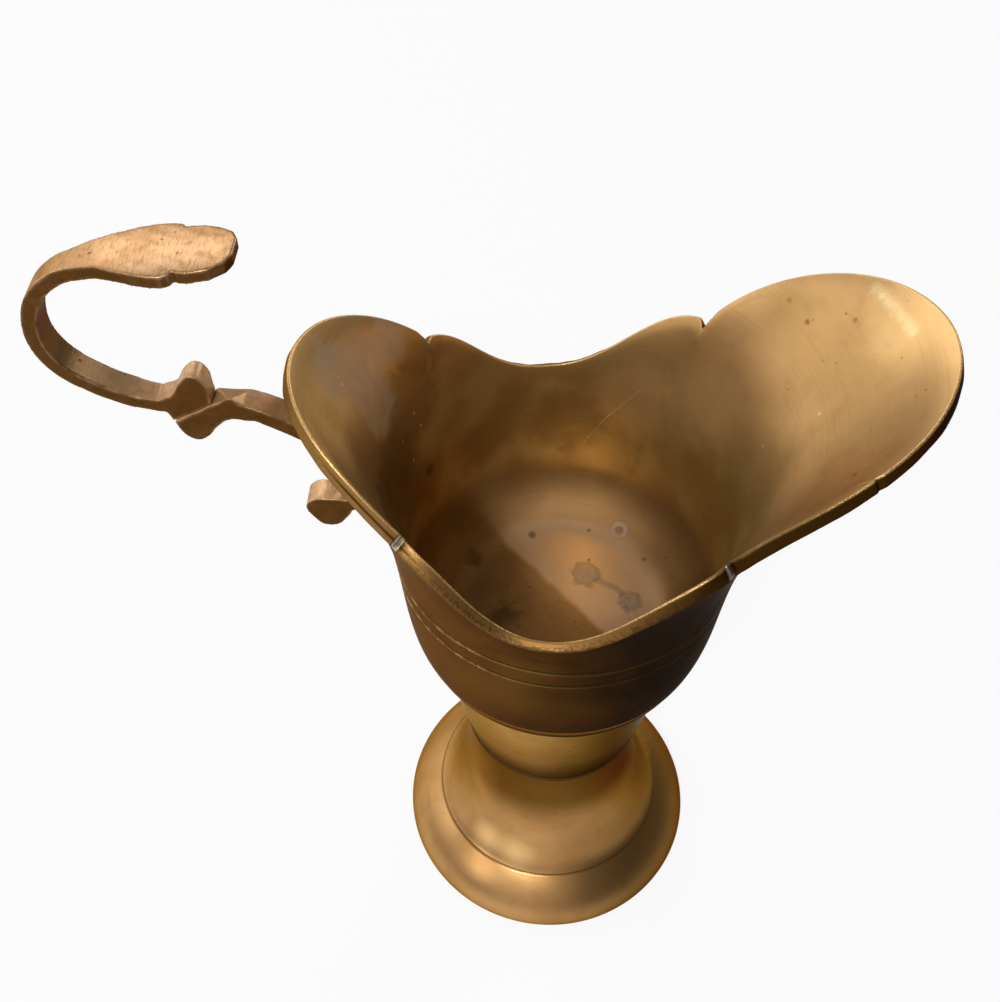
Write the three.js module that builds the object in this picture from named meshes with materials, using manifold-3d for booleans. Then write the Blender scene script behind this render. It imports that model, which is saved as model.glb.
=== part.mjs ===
// Brass pedestal pitcher: a helmet-shaped bowl on a lower cup and a bell foot.
// Its handle is made of two scrolled straps.
// Units are millimetres and +Z is up. The pouring spout points to +X and the handle to -X.
import * as THREE from 'three';
import { mergeVertices } from 'three/addons/utils/BufferGeometryUtils.js';
import Module from 'manifold-3d';

const wasm = await Module();
wasm.setup();

// Fits
const seatGap = 0.3;
const boreClearance = 0.3;

// Foot: a hollow bell with a rolled edge, an incised ring and a flat web at its top
const footHeight = 59.5;
const footRadius = 44;
const footEdgeHeight = 2.4;
const footRestOuterRadius = 42.6;
const footRestInnerRadius = 40.2;
const footRingRadius = 33.9;
const footRingHeight = 15.5;
const footRingSlopeDeg = 36;
const footNeckRadius = 23.4;
const footWall = 2.4;
const footWebThickness = 3.4;
const footWebCorner = 3.8;

// Lower cup between the foot and the bowl
const cupHeight = 44.9;
const cupFootRadius = 24.4;
const cupTopRadius = 30.5;
const cupBeadRadius = 0.8;
const cupBeadInset = 0.25;
const cupWall = 2.4;
const cupFloorThickness = 3;

// Bowl: a turned wall that swells at its base and flares towards the rim
const bowlBaseRadius = 36.2;
const bowlBaseChamfer = 2.3;
const bowlSwell = 3.9;
const bowlSwellHeight = 8.5;
const bowlFlare = 7.2;
const bowlFlareHeight = 66.7;
const bowlFlarePower = 2.8;
const bowlWall = 2;
const bowlFloorThickness = 4;
const bowlFloorCorner = 15;
const bowlSpigotRadius = cupTopRadius - cupWall - seatGap;
const bowlSpigotDepth = 2;
const bowlBossRadius = 9;
const bowlBossDepth = 9;
const bowlBossBoreDepth = 7.8;

// Incised lines: the two on the bowl lie at these heights above its underside
const bowlLineHeights = [32.8, 39.1];
const lineDepth = 0.45;
const lineHalfWidth = 0.6;

// Rim, in heights above the bowl's underside and degrees round from the spout
const lobeStartHeight = 45;
const spout = {
  halfAngle: 48.8,
  base: 70.9,
  rise: 28.6,
  risePower: 0.84,
  reach: 14.5,
  reachPower: 1.6,
  shoulder: 0.4,
  tipTurnOut: 1.1,
  notchTurnOut: 1.8,
};
const backLobe = {
  halfAngle: 40.7,
  base: 69.6,
  rise: 19.4,
  risePower: 1.02,
  reach: 4.6,
  reachPower: 1.5,
  shoulder: -0.8,
  tipTurnOut: 1.5,
  notchTurnOut: 0.8,
};
const backNotchAngle = 180 - backLobe.halfAngle;
const sideLow = { angle: 97, height: 51.3, spoutSkew: 1.15, backSkew: 1.3, turnOut: 0.4 };
const rimTurnOutDepth = 3;
const notchDepth = 1;
const notchHalfAngle = 2.2;

// Central fastening
const studRadius = 4;
const studTailLength = 3;
const washerRadius = 9;
const washerThickness = 1.5;
const nutFlats = 13;
const nutHeight = 6.5;

// Handle: two flat straps on edge, joined on a slanting flat
const strapWidth = 6.2;
const strapBackWidth = 7;
const strapThickness = 3.2;
const upperEndWidth = 5;
const lowerEndWidth = 5.3;
const armExtra = 0.6;
const attachHeight = 55;
const handleReach = 66.1;
const leafWidth = 16.6;
const leafThickness = 2.6;

// The slanting joint of the two straps, in the handle's drawn steps out from the wall and up
const joint = { out: 36.2, up: 22.4, angleDeg: 31 };

// Facets
const turnedSegments = 48;
const boreSegments = 20;
const strapSteps = 52;

// Heights of the stack, each piece seated on the one below
const cupBottom = footHeight + seatGap;
const cupTop = cupBottom + cupHeight;
const bowlBottom = cupTop + seatGap;
const boreRadius = studRadius + boreClearance;
const washerTop = footHeight - footWebThickness - seatGap;
const nutTop = washerTop - washerThickness - seatGap;
const studBottom = nutTop - nutHeight - studTailLength;
const studTop = bowlBottom - bowlBossDepth + bowlBossBoreDepth - seatGap;

const radians = THREE.MathUtils.degToRad;
const brassTones = {
  bowl: 0x9c7134,
  foot: 0xb58647,
  lower_cup: 0xa67a3c,
  handle_upper_scroll: 0xc0935a,
  handle_lower_scroll: 0xb08048,
  center_stud: 0xb8924f,
};

function brass(name) {
  return new THREE.MeshStandardMaterial({ color: brassTones[name], roughness: 0.38, metalness: 1 });
}

function steel() {
  return new THREE.MeshStandardMaterial({ color: 0x8d8f92, roughness: 0.45, metalness: 1 });
}

// Solid tools

function cleanGeometry(geometry) {
  const bare = geometry.clone();
  bare.deleteAttribute('normal');
  bare.deleteAttribute('uv');
  return mergeVertices(bare, 1e-4);
}

function toSolid(geometry) {
  const merged = cleanGeometry(geometry);
  return new wasm.Manifold(new wasm.Mesh({
    numProp: 3,
    vertProperties: new Float32Array(merged.attributes.position.array),
    triVerts: new Uint32Array(merged.index.array),
  }));
}

function fromSolid(solid) {
  const { vertProperties, triVerts } = solid.getMesh();
  const geometry = new THREE.BufferGeometry();
  geometry.setAttribute('position', new THREE.BufferAttribute(new Float32Array(vertProperties), 3));
  geometry.setIndex(new THREE.BufferAttribute(new Uint32Array(triVerts), 1));
  geometry.computeVertexNormals();
  return geometry;
}

function piece(name, geometry, material) {
  const mesh = new THREE.Mesh(geometry, material);
  mesh.name = name;
  return mesh;
}

// Revolves a closed outline of [radius, height] pairs about Z, listed with the solid on the outline's left
function revolve(outline, segments) {
  const points = [...outline, outline[0]].map(([radius, height]) => new THREE.Vector2(radius, height));
  const geometry = new THREE.LatheGeometry(points, segments);
  geometry.rotateX(Math.PI / 2);
  return cleanGeometry(geometry);
}

// Closes a stack of rings, each an array of points, with a single point at either end
function loft(firstPole, rings, lastPole) {
  const columns = rings[0].length;
  const points = [firstPole, ...rings.flat(), lastPole];
  const last = points.length - 1;
  const at = (ring, column) => 1 + ring * columns + (column % columns);
  const triangles = [];
  for (let column = 0; column < columns; column += 1) {
    triangles.push(0, at(0, column + 1), at(0, column));
    for (let ring = 0; ring < rings.length - 1; ring += 1) {
      const [a, b] = [at(ring, column), at(ring, column + 1)];
      const [c, d] = [at(ring + 1, column), at(ring + 1, column + 1)];
      triangles.push(a, b, d, a, d, c);
    }
    triangles.push(last, at(rings.length - 1, column), at(rings.length - 1, column + 1));
  }
  const geometry = new THREE.BufferGeometry().setFromPoints(points);
  geometry.setIndex(triangles);
  geometry.computeVertexNormals();
  return geometry;
}

// Extrudes a side outline of [x, z] pairs to a width centred on the plane of symmetry
function sideExtrude(outline, width) {
  const shape = new THREE.Shape(outline.map(([x, z]) => new THREE.Vector2(x, z)));
  const geometry = new THREE.ExtrudeGeometry(shape, { depth: width, bevelEnabled: false });
  geometry.rotateX(Math.PI / 2);
  geometry.translate(0, width / 2, 0);
  return geometry;
}

function bezier(start, startHandle, endHandle, end, steps) {
  const [a, b, c, d] = [start, startHandle, endHandle, end].map(([x, y]) => new THREE.Vector2(x, y));
  return new THREE.CubicBezierCurve(a, b, c, d).getPoints(steps).map((point) => [point.x, point.y]);
}

// Foot

// The ogee from the foot's widest point to its neck, drawn in by a wall thickness for the inside
function footOgee(inset) {
  const slope = radians(footRingSlopeDeg);
  const ring = [footRingRadius - inset * Math.sin(slope), footRingHeight - inset * Math.cos(slope)];
  const edge = [footRadius - inset, footEdgeHeight];
  const neckHeight = footHeight - footWebThickness - inset;
  const neck = [footNeckRadius - inset, neckHeight];
  const edgeRun = (ring[1] - edge[1]) * 0.4;
  const ringRun = (edge[0] - ring[0]) * 0.5;
  const bellRun = (neck[1] - ring[1]) * 0.55;
  const flange = bezier(
    edge,
    [edge[0], edge[1] + edgeRun],
    [ring[0] + ringRun * Math.cos(slope), ring[1] - ringRun * Math.sin(slope)],
    ring,
    5,
  );
  const bell = bezier(
    ring,
    [ring[0] - ringRun * Math.cos(slope), ring[1] + ringRun * Math.sin(slope)],
    [neck[0], neck[1] - bellRun],
    neck,
    7,
  );
  return { flange, bell };
}

function foot() {
  const outer = footOgee(0);
  const inner = footOgee(footWall);
  const slope = radians(footRingSlopeDeg);
  const [along, down] = [lineHalfWidth * Math.cos(slope), lineHalfWidth * Math.sin(slope)];
  const groove = [
    [footRingRadius + along, footRingHeight - down],
    [footRingRadius - lineDepth * Math.sin(slope), footRingHeight - lineDepth * Math.cos(slope)],
    [footRingRadius - along, footRingHeight + down],
  ];
  const webBottom = footHeight - footWebThickness;
  const outline = [
    [footRestInnerRadius, 0],
    [footRestOuterRadius, 0],
    [THREE.MathUtils.lerp(footRestOuterRadius, footRadius, 0.7), footEdgeHeight * 0.35],
    ...outer.flange.slice(0, -1),
    ...groove,
    ...outer.bell.slice(1),
    [footNeckRadius, footHeight],
    [boreRadius, footHeight],
    [boreRadius, webBottom],
    [footNeckRadius - footWebCorner, webBottom],
    ...inner.bell.reverse(),
    ...inner.flange.reverse().slice(1),
  ];
  return piece('foot', revolve(outline, turnedSegments), brass('foot'));
}

// Lower cup

function cupRadiusAt(share) {
  return cupFootRadius + (cupTopRadius - cupFootRadius) * Math.sin(share * Math.PI / 2);
}

function lowerCup() {
  const steps = 6;
  const beadTop = cupBottom + 2 * cupBeadRadius;
  const bead = [-90, -30, 30].map((angle) => [
    cupFootRadius + cupBeadRadius * Math.cos(radians(angle)) - cupBeadInset,
    cupBottom + cupBeadRadius * (1 + Math.sin(radians(angle))),
  ]);
  const wallAt = (inset, bottom) => Array.from({ length: steps + 1 }, (_, index) => {
    const height = bottom + (cupTop - bottom) * index / steps;
    return [cupRadiusAt((height - cupBottom) / cupHeight) - inset, height];
  });
  const outline = [
    [boreRadius, cupBottom],
    ...bead,
    ...wallAt(0, beadTop),
    ...wallAt(cupWall, cupBottom + cupFloorThickness + cupWall).reverse(),
    [cupRadiusAt(0.1) - 2 * cupWall, cupBottom + cupFloorThickness],
    [boreRadius, cupBottom + cupFloorThickness],
  ];
  return piece('lower_cup', revolve(outline, turnedSegments), brass('lower_cup'));
}

// Bowl

// Radius of the turned outer wall at a height above the bowl's underside
function turnedRadius(height) {
  const rise = Math.max(height - bowlBaseChamfer, 0);
  const swell = bowlSwell * (1 - Math.exp(-rise / bowlSwellHeight));
  return bowlBaseRadius + swell + bowlFlare * (rise / bowlFlareHeight) ** bowlFlarePower;
}

// One of the two rim lobes: how high it stands and how far it leans out past the turned wall
function lobeRim(lobe, share) {
  const fall = 1 - share * share;
  return {
    height: lobe.base + lobe.rise * fall ** lobe.risePower,
    reach: lobe.reach * fall ** lobe.reachPower,
    turnOut: THREE.MathUtils.lerp(lobe.notchTurnOut, lobe.tipTurnOut, fall),
  };
}

// The low side of the rim between its lowest point and the notch beside a lobe
function sideRim(share, skew, lobe) {
  const climb = Math.sin(share ** skew * Math.PI / 2) ** 2;
  return {
    height: THREE.MathUtils.lerp(sideLow.height, lobe.base + lobe.shoulder, climb),
    reach: 0,
    turnOut: THREE.MathUtils.lerp(sideLow.turnOut, lobe.notchTurnOut, climb),
  };
}

// Rim height and reach at an angle in degrees from the spout
function rimAt(angle) {
  const turn = Math.min(Math.abs(angle), 360 - Math.abs(angle));
  let rim;
  if (turn <= spout.halfAngle) {
    rim = lobeRim(spout, turn / spout.halfAngle);
  } else if (turn >= backNotchAngle) {
    rim = lobeRim(backLobe, (180 - turn) / backLobe.halfAngle);
  } else if (turn < sideLow.angle) {
    const share = (sideLow.angle - turn) / (sideLow.angle - spout.halfAngle);
    rim = sideRim(share, sideLow.spoutSkew, spout);
  } else {
    const share = (turn - sideLow.angle) / (backNotchAngle - sideLow.angle);
    rim = sideRim(share, sideLow.backSkew, backLobe);
  }
  const toNotch = Math.min(Math.abs(turn - spout.halfAngle), Math.abs(turn - backNotchAngle));
  rim.height -= notchDepth * Math.max(0, 1 - toNotch / notchHalfAngle);
  return rim;
}

// Angles of the columns, closer round the notches and even between them
function columnAngles() {
  const stops = [
    [0, spout.halfAngle - notchHalfAngle, 10],
    [spout.halfAngle - notchHalfAngle, spout.halfAngle, 1],
    [spout.halfAngle, spout.halfAngle + notchHalfAngle, 1],
    [spout.halfAngle + notchHalfAngle, sideLow.angle, 8],
    [sideLow.angle, backNotchAngle - notchHalfAngle, 7],
    [backNotchAngle - notchHalfAngle, backNotchAngle, 1],
    [backNotchAngle, backNotchAngle + notchHalfAngle, 1],
    [backNotchAngle + notchHalfAngle, 180, 8],
  ];
  const half = stops.flatMap(([from, to, count]) => (
    Array.from({ length: count }, (_, index) => from + (to - from) * index / count)
  ));
  return [...half, 180, ...half.slice(1).reverse().map((angle) => 360 - angle)];
}

// Outer wall at an angle and a height above the underside
function outerRadius(angle, height) {
  const rim = rimAt(angle);
  const lean = Math.max(height - lobeStartHeight, 0) / (rim.height - lobeStartHeight);
  const turnOut = rim.turnOut * Math.exp(-(rim.height - height) / rimTurnOutDepth);
  return turnedRadius(height) + rim.reach * lean ** 2 + turnOut;
}

// Inner wall: the outer wall moved in square to its own slope
function innerPoint(angle, height) {
  const step = 0.05;
  const slope = (outerRadius(angle, height + step) - outerRadius(angle, height - step)) / (2 * step);
  const length = Math.hypot(slope, 1);
  return [outerRadius(angle, height) - bowlWall / length, height + bowlWall * slope / length];
}

function ringOf(angles, pointAt) {
  return angles.map((angle) => {
    const [radius, height] = pointAt(angle);
    const turn = radians(angle);
    return new THREE.Vector3(radius * Math.cos(turn), radius * Math.sin(turn), bowlBottom + height);
  });
}

function spread(from, to, count) {
  return Array.from({ length: count + 1 }, (_, index) => from + (to - from) * index / count);
}

// Heights of the turned rows, with three rows for each incised line
function turnedRows() {
  const swellTop = bowlBaseChamfer + 1.4 * bowlSwellHeight;
  const swellRows = spread(bowlBaseChamfer, swellTop, 4);
  const plain = [...swellRows, ...spread(swellTop, bowlLineHeights[0], 3).slice(1, -1)];
  const rows = [...plain, lobeStartHeight].map((height) => ({ height, cut: 0 }));
  for (const line of bowlLineHeights) {
    rows.push({ height: line - lineHalfWidth, cut: 0 });
    rows.push({ height: line, cut: lineDepth });
    rows.push({ height: line + lineHalfWidth, cut: 0 });
  }
  return rows.sort((a, b) => a.height - b.height);
}

function bowl() {
  const angles = columnAngles();
  const lobeRows = 8;
  const innerRows = 7;
  const flat = (radius, height) => ringOf(angles, () => [radius, height]);
  const lobeHeight = (angle, share) => lobeStartHeight + (rimAt(angle).height - lobeStartHeight) * share;
  const boreTop = bowlBossBoreDepth - bowlBossDepth;
  const underside = [
    flat(boreRadius, boreTop),
    flat(boreRadius, -bowlBossDepth),
    flat(bowlBossRadius, -bowlBossDepth),
    flat(bowlBossRadius, -bowlSpigotDepth),
    flat(bowlSpigotRadius, -bowlSpigotDepth),
    flat(bowlSpigotRadius, 0),
    flat(bowlBaseRadius - bowlBaseChamfer * 0.7, 0),
  ];
  const wall = turnedRows().map(({ height, cut }) => flat(turnedRadius(height) - cut, height));
  const lobes = spread(1 / lobeRows, 1, lobeRows - 1).map((share) => (
    ringOf(angles, (angle) => [outerRadius(angle, lobeHeight(angle, share)), lobeHeight(angle, share)])
  ));
  const insideLobes = spread(1, 1 / lobeRows, lobeRows - 1).map((share) => (
    ringOf(angles, (angle) => innerPoint(angle, lobeHeight(angle, share)))
  ));
  const cornerTop = bowlFloorThickness + bowlFloorCorner;
  const insideWall = spread(lobeStartHeight, cornerTop, innerRows).map((height) => (
    flat(turnedRadius(height) - bowlWall, height)
  ));
  const cornerRadius = turnedRadius(cornerTop) - bowlWall;
  const corner = [22.5, 45, 67.5, 90].map((angle) => flat(
    cornerRadius - bowlFloorCorner * (1 - Math.cos(radians(angle))),
    cornerTop - bowlFloorCorner * Math.sin(radians(angle)),
  ));
  const rings = [...underside, ...wall, ...lobes, ...insideLobes, ...insideWall, ...corner];
  const boreEnd = new THREE.Vector3(0, 0, bowlBottom + boreTop);
  const floorCentre = new THREE.Vector3(0, 0, bowlBottom + bowlFloorThickness);
  return piece('bowl', loft(boreEnd, rings, floorCentre), brass('bowl'));
}

// The bowl's outer wall grown by the seat gap, to cut whatever is brazed against it
function bowlEnvelope() {
  const angles = columnAngles();
  const shares = spread(0, 1, 14);
  const rings = shares.map((share) => ringOf(angles, (angle) => {
    const height = bowlBaseChamfer + (rimAt(angle).height - bowlBaseChamfer) * share;
    return [outerRadius(angle, height) + seatGap, height];
  }));
  const low = new THREE.Vector3(0, 0, bowlBottom);
  const high = new THREE.Vector3(0, 0, bowlBottom + sideLow.height);
  return toSolid(loft(low, rings, high));
}

// Handle

// The handle's lines are drawn in steps, of which its back stands 66.1 out from the wall
const handleStep = handleReach / 66.1;
const attachRadius = turnedRadius(attachHeight);

// A handle point: steps out from the bowl's wall and steps above the attachment height
function fromWall(out, up) {
  return [-(attachRadius + out * handleStep), bowlBottom + attachHeight + up * handleStep];
}

// The strap's middle line where it lies against the bowl, at steps above the attachment height
function againstWall(up) {
  const rise = up * handleStep;
  return [-(turnedRadius(attachHeight + rise) + strapThickness / 2), bowlBottom + attachHeight + rise];
}

// The outline of a strap along a smooth line, easing from one thickness to the other over its first part
function strapOutline(points, startThickness, thickness, easeShare) {
  const curve = new THREE.SplineCurve(points.map(([x, z]) => new THREE.Vector2(x, z)));
  const sides = [[], []];
  for (let step = 0; step <= strapSteps; step += 1) {
    const share = step / strapSteps;
    const middle = curve.getPointAt(share);
    const along = curve.getTangentAt(share);
    const half = THREE.MathUtils.lerp(startThickness, thickness, Math.min(share / easeShare, 1)) / 2;
    sides[0].push([middle.x - along.y * half, middle.y + along.x * half]);
    sides[1].push([middle.x + along.y * half, middle.y - along.x * half]);
  }
  const outline = [...sides[0], ...sides[1].reverse()];
  return THREE.ShapeUtils.area(outline.map(([x, y]) => ({ x, y }))) > 0 ? outline : outline.reverse();
}

function smoothOutline(points, steps) {
  const corners = points.map(([x, z]) => new THREE.Vector3(x, z, 0));
  const curve = new THREE.CatmullRomCurve3(corners, true, 'centripetal');
  const outline = curve.getPoints(steps).slice(0, -1).map((point) => [point.x, point.y]);
  return THREE.ShapeUtils.area(outline.map(([x, y]) => ({ x, y }))) > 0 ? outline : outline.reverse();
}

// A block that fills one side of the slanting joint: side 1 above it and -1 below it
function jointBlock(side) {
  const [x, z] = fromWall(joint.out, joint.up);
  const reach = bowlBaseRadius + bowlFlareHeight;
  const block = new THREE.BoxGeometry(reach, leafWidth * 2, reach);
  block.translate(0, 0, side * (reach - seatGap) / 2);
  block.rotateY(-radians(joint.angleDeg));
  block.translate(x, 0, z);
  return toSolid(block);
}

// Plan of the thumb leaf as [steps behind its tip, half width as a share of the leaf's]
const leafTipOut = 21.6;
const leafPlan = [
  [0.35, 0.28], [1.5, 0.55], [4.4, 0.78], [8.6, 0.88], [10.4, 0.86], [11.1, 0.8], [11.9, 0.92],
  [13.4, 0.99], [15.6, 0.98], [18.9, 0.9], [22.9, 0.74], [27.4, 0.55],
];
const leafBlendBack = 34.4;

// Limits of the prisms that cut the straps to width: the leaf's plan holds above the leaf level
const leafLevel = 46;
const planLimits = { back: 76, top: 76, bottom: -30 };

// An upright prism with a plan of [steps out from the wall, half width] pairs
function planPrism(stations, lowUp, highUp) {
  const along = stations.map(([out, half]) => [fromWall(out, 0)[0], half]);
  const outline = [...along, ...along.slice().reverse().map(([x, half]) => [x, -half])];
  const shape = new THREE.Shape(outline.map(([x, y]) => new THREE.Vector2(x, y)));
  const depth = (highUp - lowUp) * handleStep;
  const prism = new THREE.ExtrudeGeometry(shape, { depth, bevelEnabled: false });
  prism.translate(0, 0, fromWall(0, lowUp)[1]);
  return toSolid(prism);
}

function upperScrollWidth() {
  const [end, run, back] = [upperEndWidth, strapWidth, strapBackWidth].map((width) => width / 2);
  const leaf = leafPlan.map(([behind, share]) => [leafTipOut + behind, share * leafWidth / 2]);
  const leafStations = [...leaf, [leafTipOut + leafBlendBack, run], [planLimits.back, back]];
  const nearJoint = [[joint.out - 8, end], [joint.out + 4, end], [joint.out + 16, run]];
  const runStations = [...nearJoint, [planLimits.back, back]];
  const above = planPrism(leafStations, leafLevel, planLimits.top);
  return above.add(planPrism(runStations, planLimits.bottom, leafLevel));
}

function lowerScrollWidth() {
  const [run, end] = [strapWidth / 2, lowerEndWidth / 2];
  const stations = [[-10, run], [20, run], [joint.out - 4, end], [planLimits.back, end]];
  return planPrism(stations, planLimits.bottom, leafLevel);
}

function handleUpperScroll() {
  const line = [
    [20.8, 63.9], [32.2, 63.1], [42.2, 62.4], [50.6, 60.7], [58.3, 57.4], [63.6, 52.2], [66.1, 45.4],
    [65.9, 38.6], [62.9, 33], [57.5, 28.4], [50.6, 24.8], [43.4, 22.9], [39.6, 23.4],
  ].map(([out, up]) => fromWall(out, up));
  const curl = [
    [45, 24.6], [41.4, 26.6], [39.2, 30.2], [37, 32.2], [35.2, 31.9], [33.9, 29.8], [33.7, 26.6],
    [34, 20], [41, 16], [43.6, 21.2],
  ].map(([out, up]) => fromWall(out, up));
  const strap = strapOutline(line, leafThickness, strapThickness, 0.4);
  const outlines = [strap, smoothOutline(curl, 44)];
  const [run, end] = outlines.map((outline) => toSolid(sideExtrude(outline, leafWidth + 2)));
  const solid = run.add(end).intersect(upperScrollWidth()).subtract(jointBlock(-1));
  return piece('handle_upper_scroll', fromSolid(solid), brass('handle_upper_scroll'));
}

function handleLowerScroll() {
  const line = [
    fromWall(33, 22), fromWall(28.5, 22.5), fromWall(24, 21.3), fromWall(18.5, 18.5), fromWall(12, 14.2),
    againstWall(8), againstWall(3), againstWall(-1.5),
    fromWall(3.2, -5.6), fromWall(7, -7.9), fromWall(11, -8.8),
  ];
  const root = [
    [42.6, 24], [42, 16.6], [40.4, 13.8], [38.1, 12.8], [35.6, 14.2], [33.4, 17.2], [29.6, 19.9],
    [25, 19.6], [22, 21.6], [27, 24.4], [34, 29],
  ].map(([out, up]) => fromWall(out, up));
  const curl = [
    [7.4, -6.2], [10.4, -5.7], [14.4, -5.9], [17, -8.2], [16.2, -12.2], [13.4, -15.1], [10.2, -15],
    [8, -12.6], [6.4, -9.6],
  ].map(([out, up]) => fromWall(out, up));
  const thickness = strapThickness + armExtra;
  const strapLine = strapOutline(line, thickness, thickness, 1);
  const outlines = [strapLine, smoothOutline(root, 44), smoothOutline(curl, 40)];
  const [strap, top, bottom] = outlines.map((outline) => toSolid(sideExtrude(outline, strapWidth + 2)));
  const solid = strap.add(top).add(bottom).intersect(lowerScrollWidth());
  const seated = solid.subtract(jointBlock(1)).subtract(bowlEnvelope());
  return piece('handle_lower_scroll', fromSolid(seated), brass('handle_lower_scroll'));
}

// Central fastening

function tube(name, innerRadius, outerFacets, outerSize, bottom, height, material) {
  const outline = Array.from({ length: outerFacets }, (_, index) => {
    const turn = (index + 0.5) * 2 * Math.PI / outerFacets;
    return new THREE.Vector2(outerSize * Math.cos(turn), outerSize * Math.sin(turn));
  });
  const shape = new THREE.Shape(outline);
  shape.holes.push(new THREE.Path().absarc(0, 0, innerRadius, 0, 2 * Math.PI, true));
  const geometry = new THREE.ExtrudeGeometry(shape, {
    depth: height,
    bevelEnabled: false,
    curveSegments: boreSegments,
  });
  geometry.translate(0, 0, bottom);
  return piece(name, geometry, material);
}

function centerStud() {
  const length = studTop - studBottom;
  const stud = new THREE.CylinderGeometry(studRadius, studRadius, length, boreSegments);
  stud.rotateX(Math.PI / 2);
  stud.translate(0, 0, studBottom + length / 2);
  return piece('center_stud', stud, brass('center_stud'));
}

function footWasher() {
  return tube('foot_washer', boreRadius, boreSegments, washerRadius, washerTop - washerThickness,
    washerThickness, steel());
}

function footNut() {
  const cornerRadius = nutFlats / 2 / Math.cos(Math.PI / 6);
  return tube('foot_nut', boreRadius, 6, cornerRadius, nutTop - nutHeight, nutHeight, steel());
}

// Assembly, moved along X so that its origin is under the middle of its length
const group = new THREE.Group();
group.add(
  foot(),
  lowerCup(),
  bowl(),
  handleUpperScroll(),
  handleLowerScroll(),
  centerStud(),
  footWasher(),
  footNut(),
);
const extent = new THREE.Box3().setFromObject(group, true);
group.position.x = -(extent.min.x + extent.max.x) / 2;
group.updateMatrixWorld(true);

export default group;
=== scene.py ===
"""Brass pedestal pitcher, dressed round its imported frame.

The bowl, the lower cup and the bell foot are turned castings, and the handle is two cast straps.
Sizes are millimetres about the turned axis, and become metres where a mesh or a socket is written.
"""

from __future__ import annotations

import logging
import math
from dataclasses import dataclass, field
from enum import Enum
from functools import cached_property
from typing import Any, Sequence

import bmesh
import bpy
import numpy as np
from mathutils import Matrix, Vector

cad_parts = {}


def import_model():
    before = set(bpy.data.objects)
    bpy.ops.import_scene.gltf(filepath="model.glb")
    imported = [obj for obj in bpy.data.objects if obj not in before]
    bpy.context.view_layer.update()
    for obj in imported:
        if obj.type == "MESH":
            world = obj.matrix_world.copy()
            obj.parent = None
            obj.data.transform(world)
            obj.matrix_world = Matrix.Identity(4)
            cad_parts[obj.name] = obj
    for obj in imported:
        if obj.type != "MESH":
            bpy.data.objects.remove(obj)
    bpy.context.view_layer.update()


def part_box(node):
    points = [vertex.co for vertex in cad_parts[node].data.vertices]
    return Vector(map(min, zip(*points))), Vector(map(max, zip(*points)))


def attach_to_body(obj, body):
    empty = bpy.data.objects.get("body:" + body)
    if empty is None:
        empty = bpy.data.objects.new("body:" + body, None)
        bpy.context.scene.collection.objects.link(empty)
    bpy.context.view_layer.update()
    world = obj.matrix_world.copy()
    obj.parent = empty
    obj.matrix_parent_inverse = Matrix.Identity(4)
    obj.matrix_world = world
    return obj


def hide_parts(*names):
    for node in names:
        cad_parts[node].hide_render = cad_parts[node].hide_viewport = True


LOG = logging.getLogger("pitcher")
BODY = "root"
MM = 0.001

Colour = tuple[float, float, float]
Point = tuple[float, float, float]
Pair = tuple[float, float]
Profile = list[Pair]


def srgb(*levels: int) -> Colour:
    """Turn a display colour into the linear one that a shader takes.

    Args:
        levels: Red, green and blue, 0 to 255.

    Returns:
        The three linear values.
    """
    shares = [level / 255 for level in levels]
    return tuple(part / 12.92 if part <= 0.04045 else ((part + 0.055) / 1.055) ** 2.4 for part in shares)


class Field:
    """A socket that varies over a piece; Python's operators on it add Math or Vector Math nodes."""

    def __init__(self, owner: NodeTree, socket: bpy.types.NodeSocket) -> None:
        """Keep the socket and the tree it belongs to."""
        self.owner = owner
        self.socket = socket

    def __add__(self, other: Field | Point | float) -> Field:
        """Sum."""
        return self.owner.math("ADD", self, other)

    __radd__ = __add__

    def __sub__(self, other: Field | Point | float) -> Field:
        """Difference."""
        return self.owner.math("SUBTRACT", self, other)

    def __rsub__(self, other: float) -> Field:
        """Difference from a plain number."""
        return self.owner.math("SUBTRACT", other, self)

    def __mul__(self, other: Field | Point | float) -> Field:
        """Product, axis by axis for vectors."""
        return self.owner.math("MULTIPLY", self, other)

    __rmul__ = __mul__

    def __truediv__(self, other: Field | float) -> Field:
        """Quotient."""
        return self.owner.math("DIVIDE", self, other)

    def either(self, other: Field | float) -> Field:
        """The larger of two values."""
        return self.owner.math("MAXIMUM", self, other)

    def size(self) -> Field:
        """The value without its sign."""
        return self.owner.math("ABSOLUTE", self)

    def dot(self, other: Point) -> Field:
        """Dot product of two vectors."""
        return self.owner.math("DOT_PRODUCT", self, other)

    def length(self) -> Field:
        """Length of a vector."""
        return self.owner.math("LENGTH", self)

    def scaled(self, factor: Field) -> Field:
        """A vector times a value."""
        return self.owner.node("ShaderNodeVectorMath", {0: self, "Scale": factor}, operation="SCALE")

    def split(self) -> tuple[Field, ...]:
        """The three parts of a vector."""
        first = self.owner.node("ShaderNodeSeparateXYZ", {0: self})
        return tuple(Field(self.owner, socket) for socket in first.socket.node.outputs)

    def step(self, low: float, high: float) -> Field:
        """Rise smoothly from 0 at low to 1 at high; low above high makes it fall."""
        ends = {"Value": self, "From Min": low, "From Max": high}
        return self.owner.node("ShaderNodeMapRange", ends, interpolation_type="SMOOTHSTEP")

    def to(self, other: Field | Colour, share: Field | float) -> Field:
        """A colour mixed towards another by a share."""
        return self.owner.blend(self, other, share)


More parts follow.
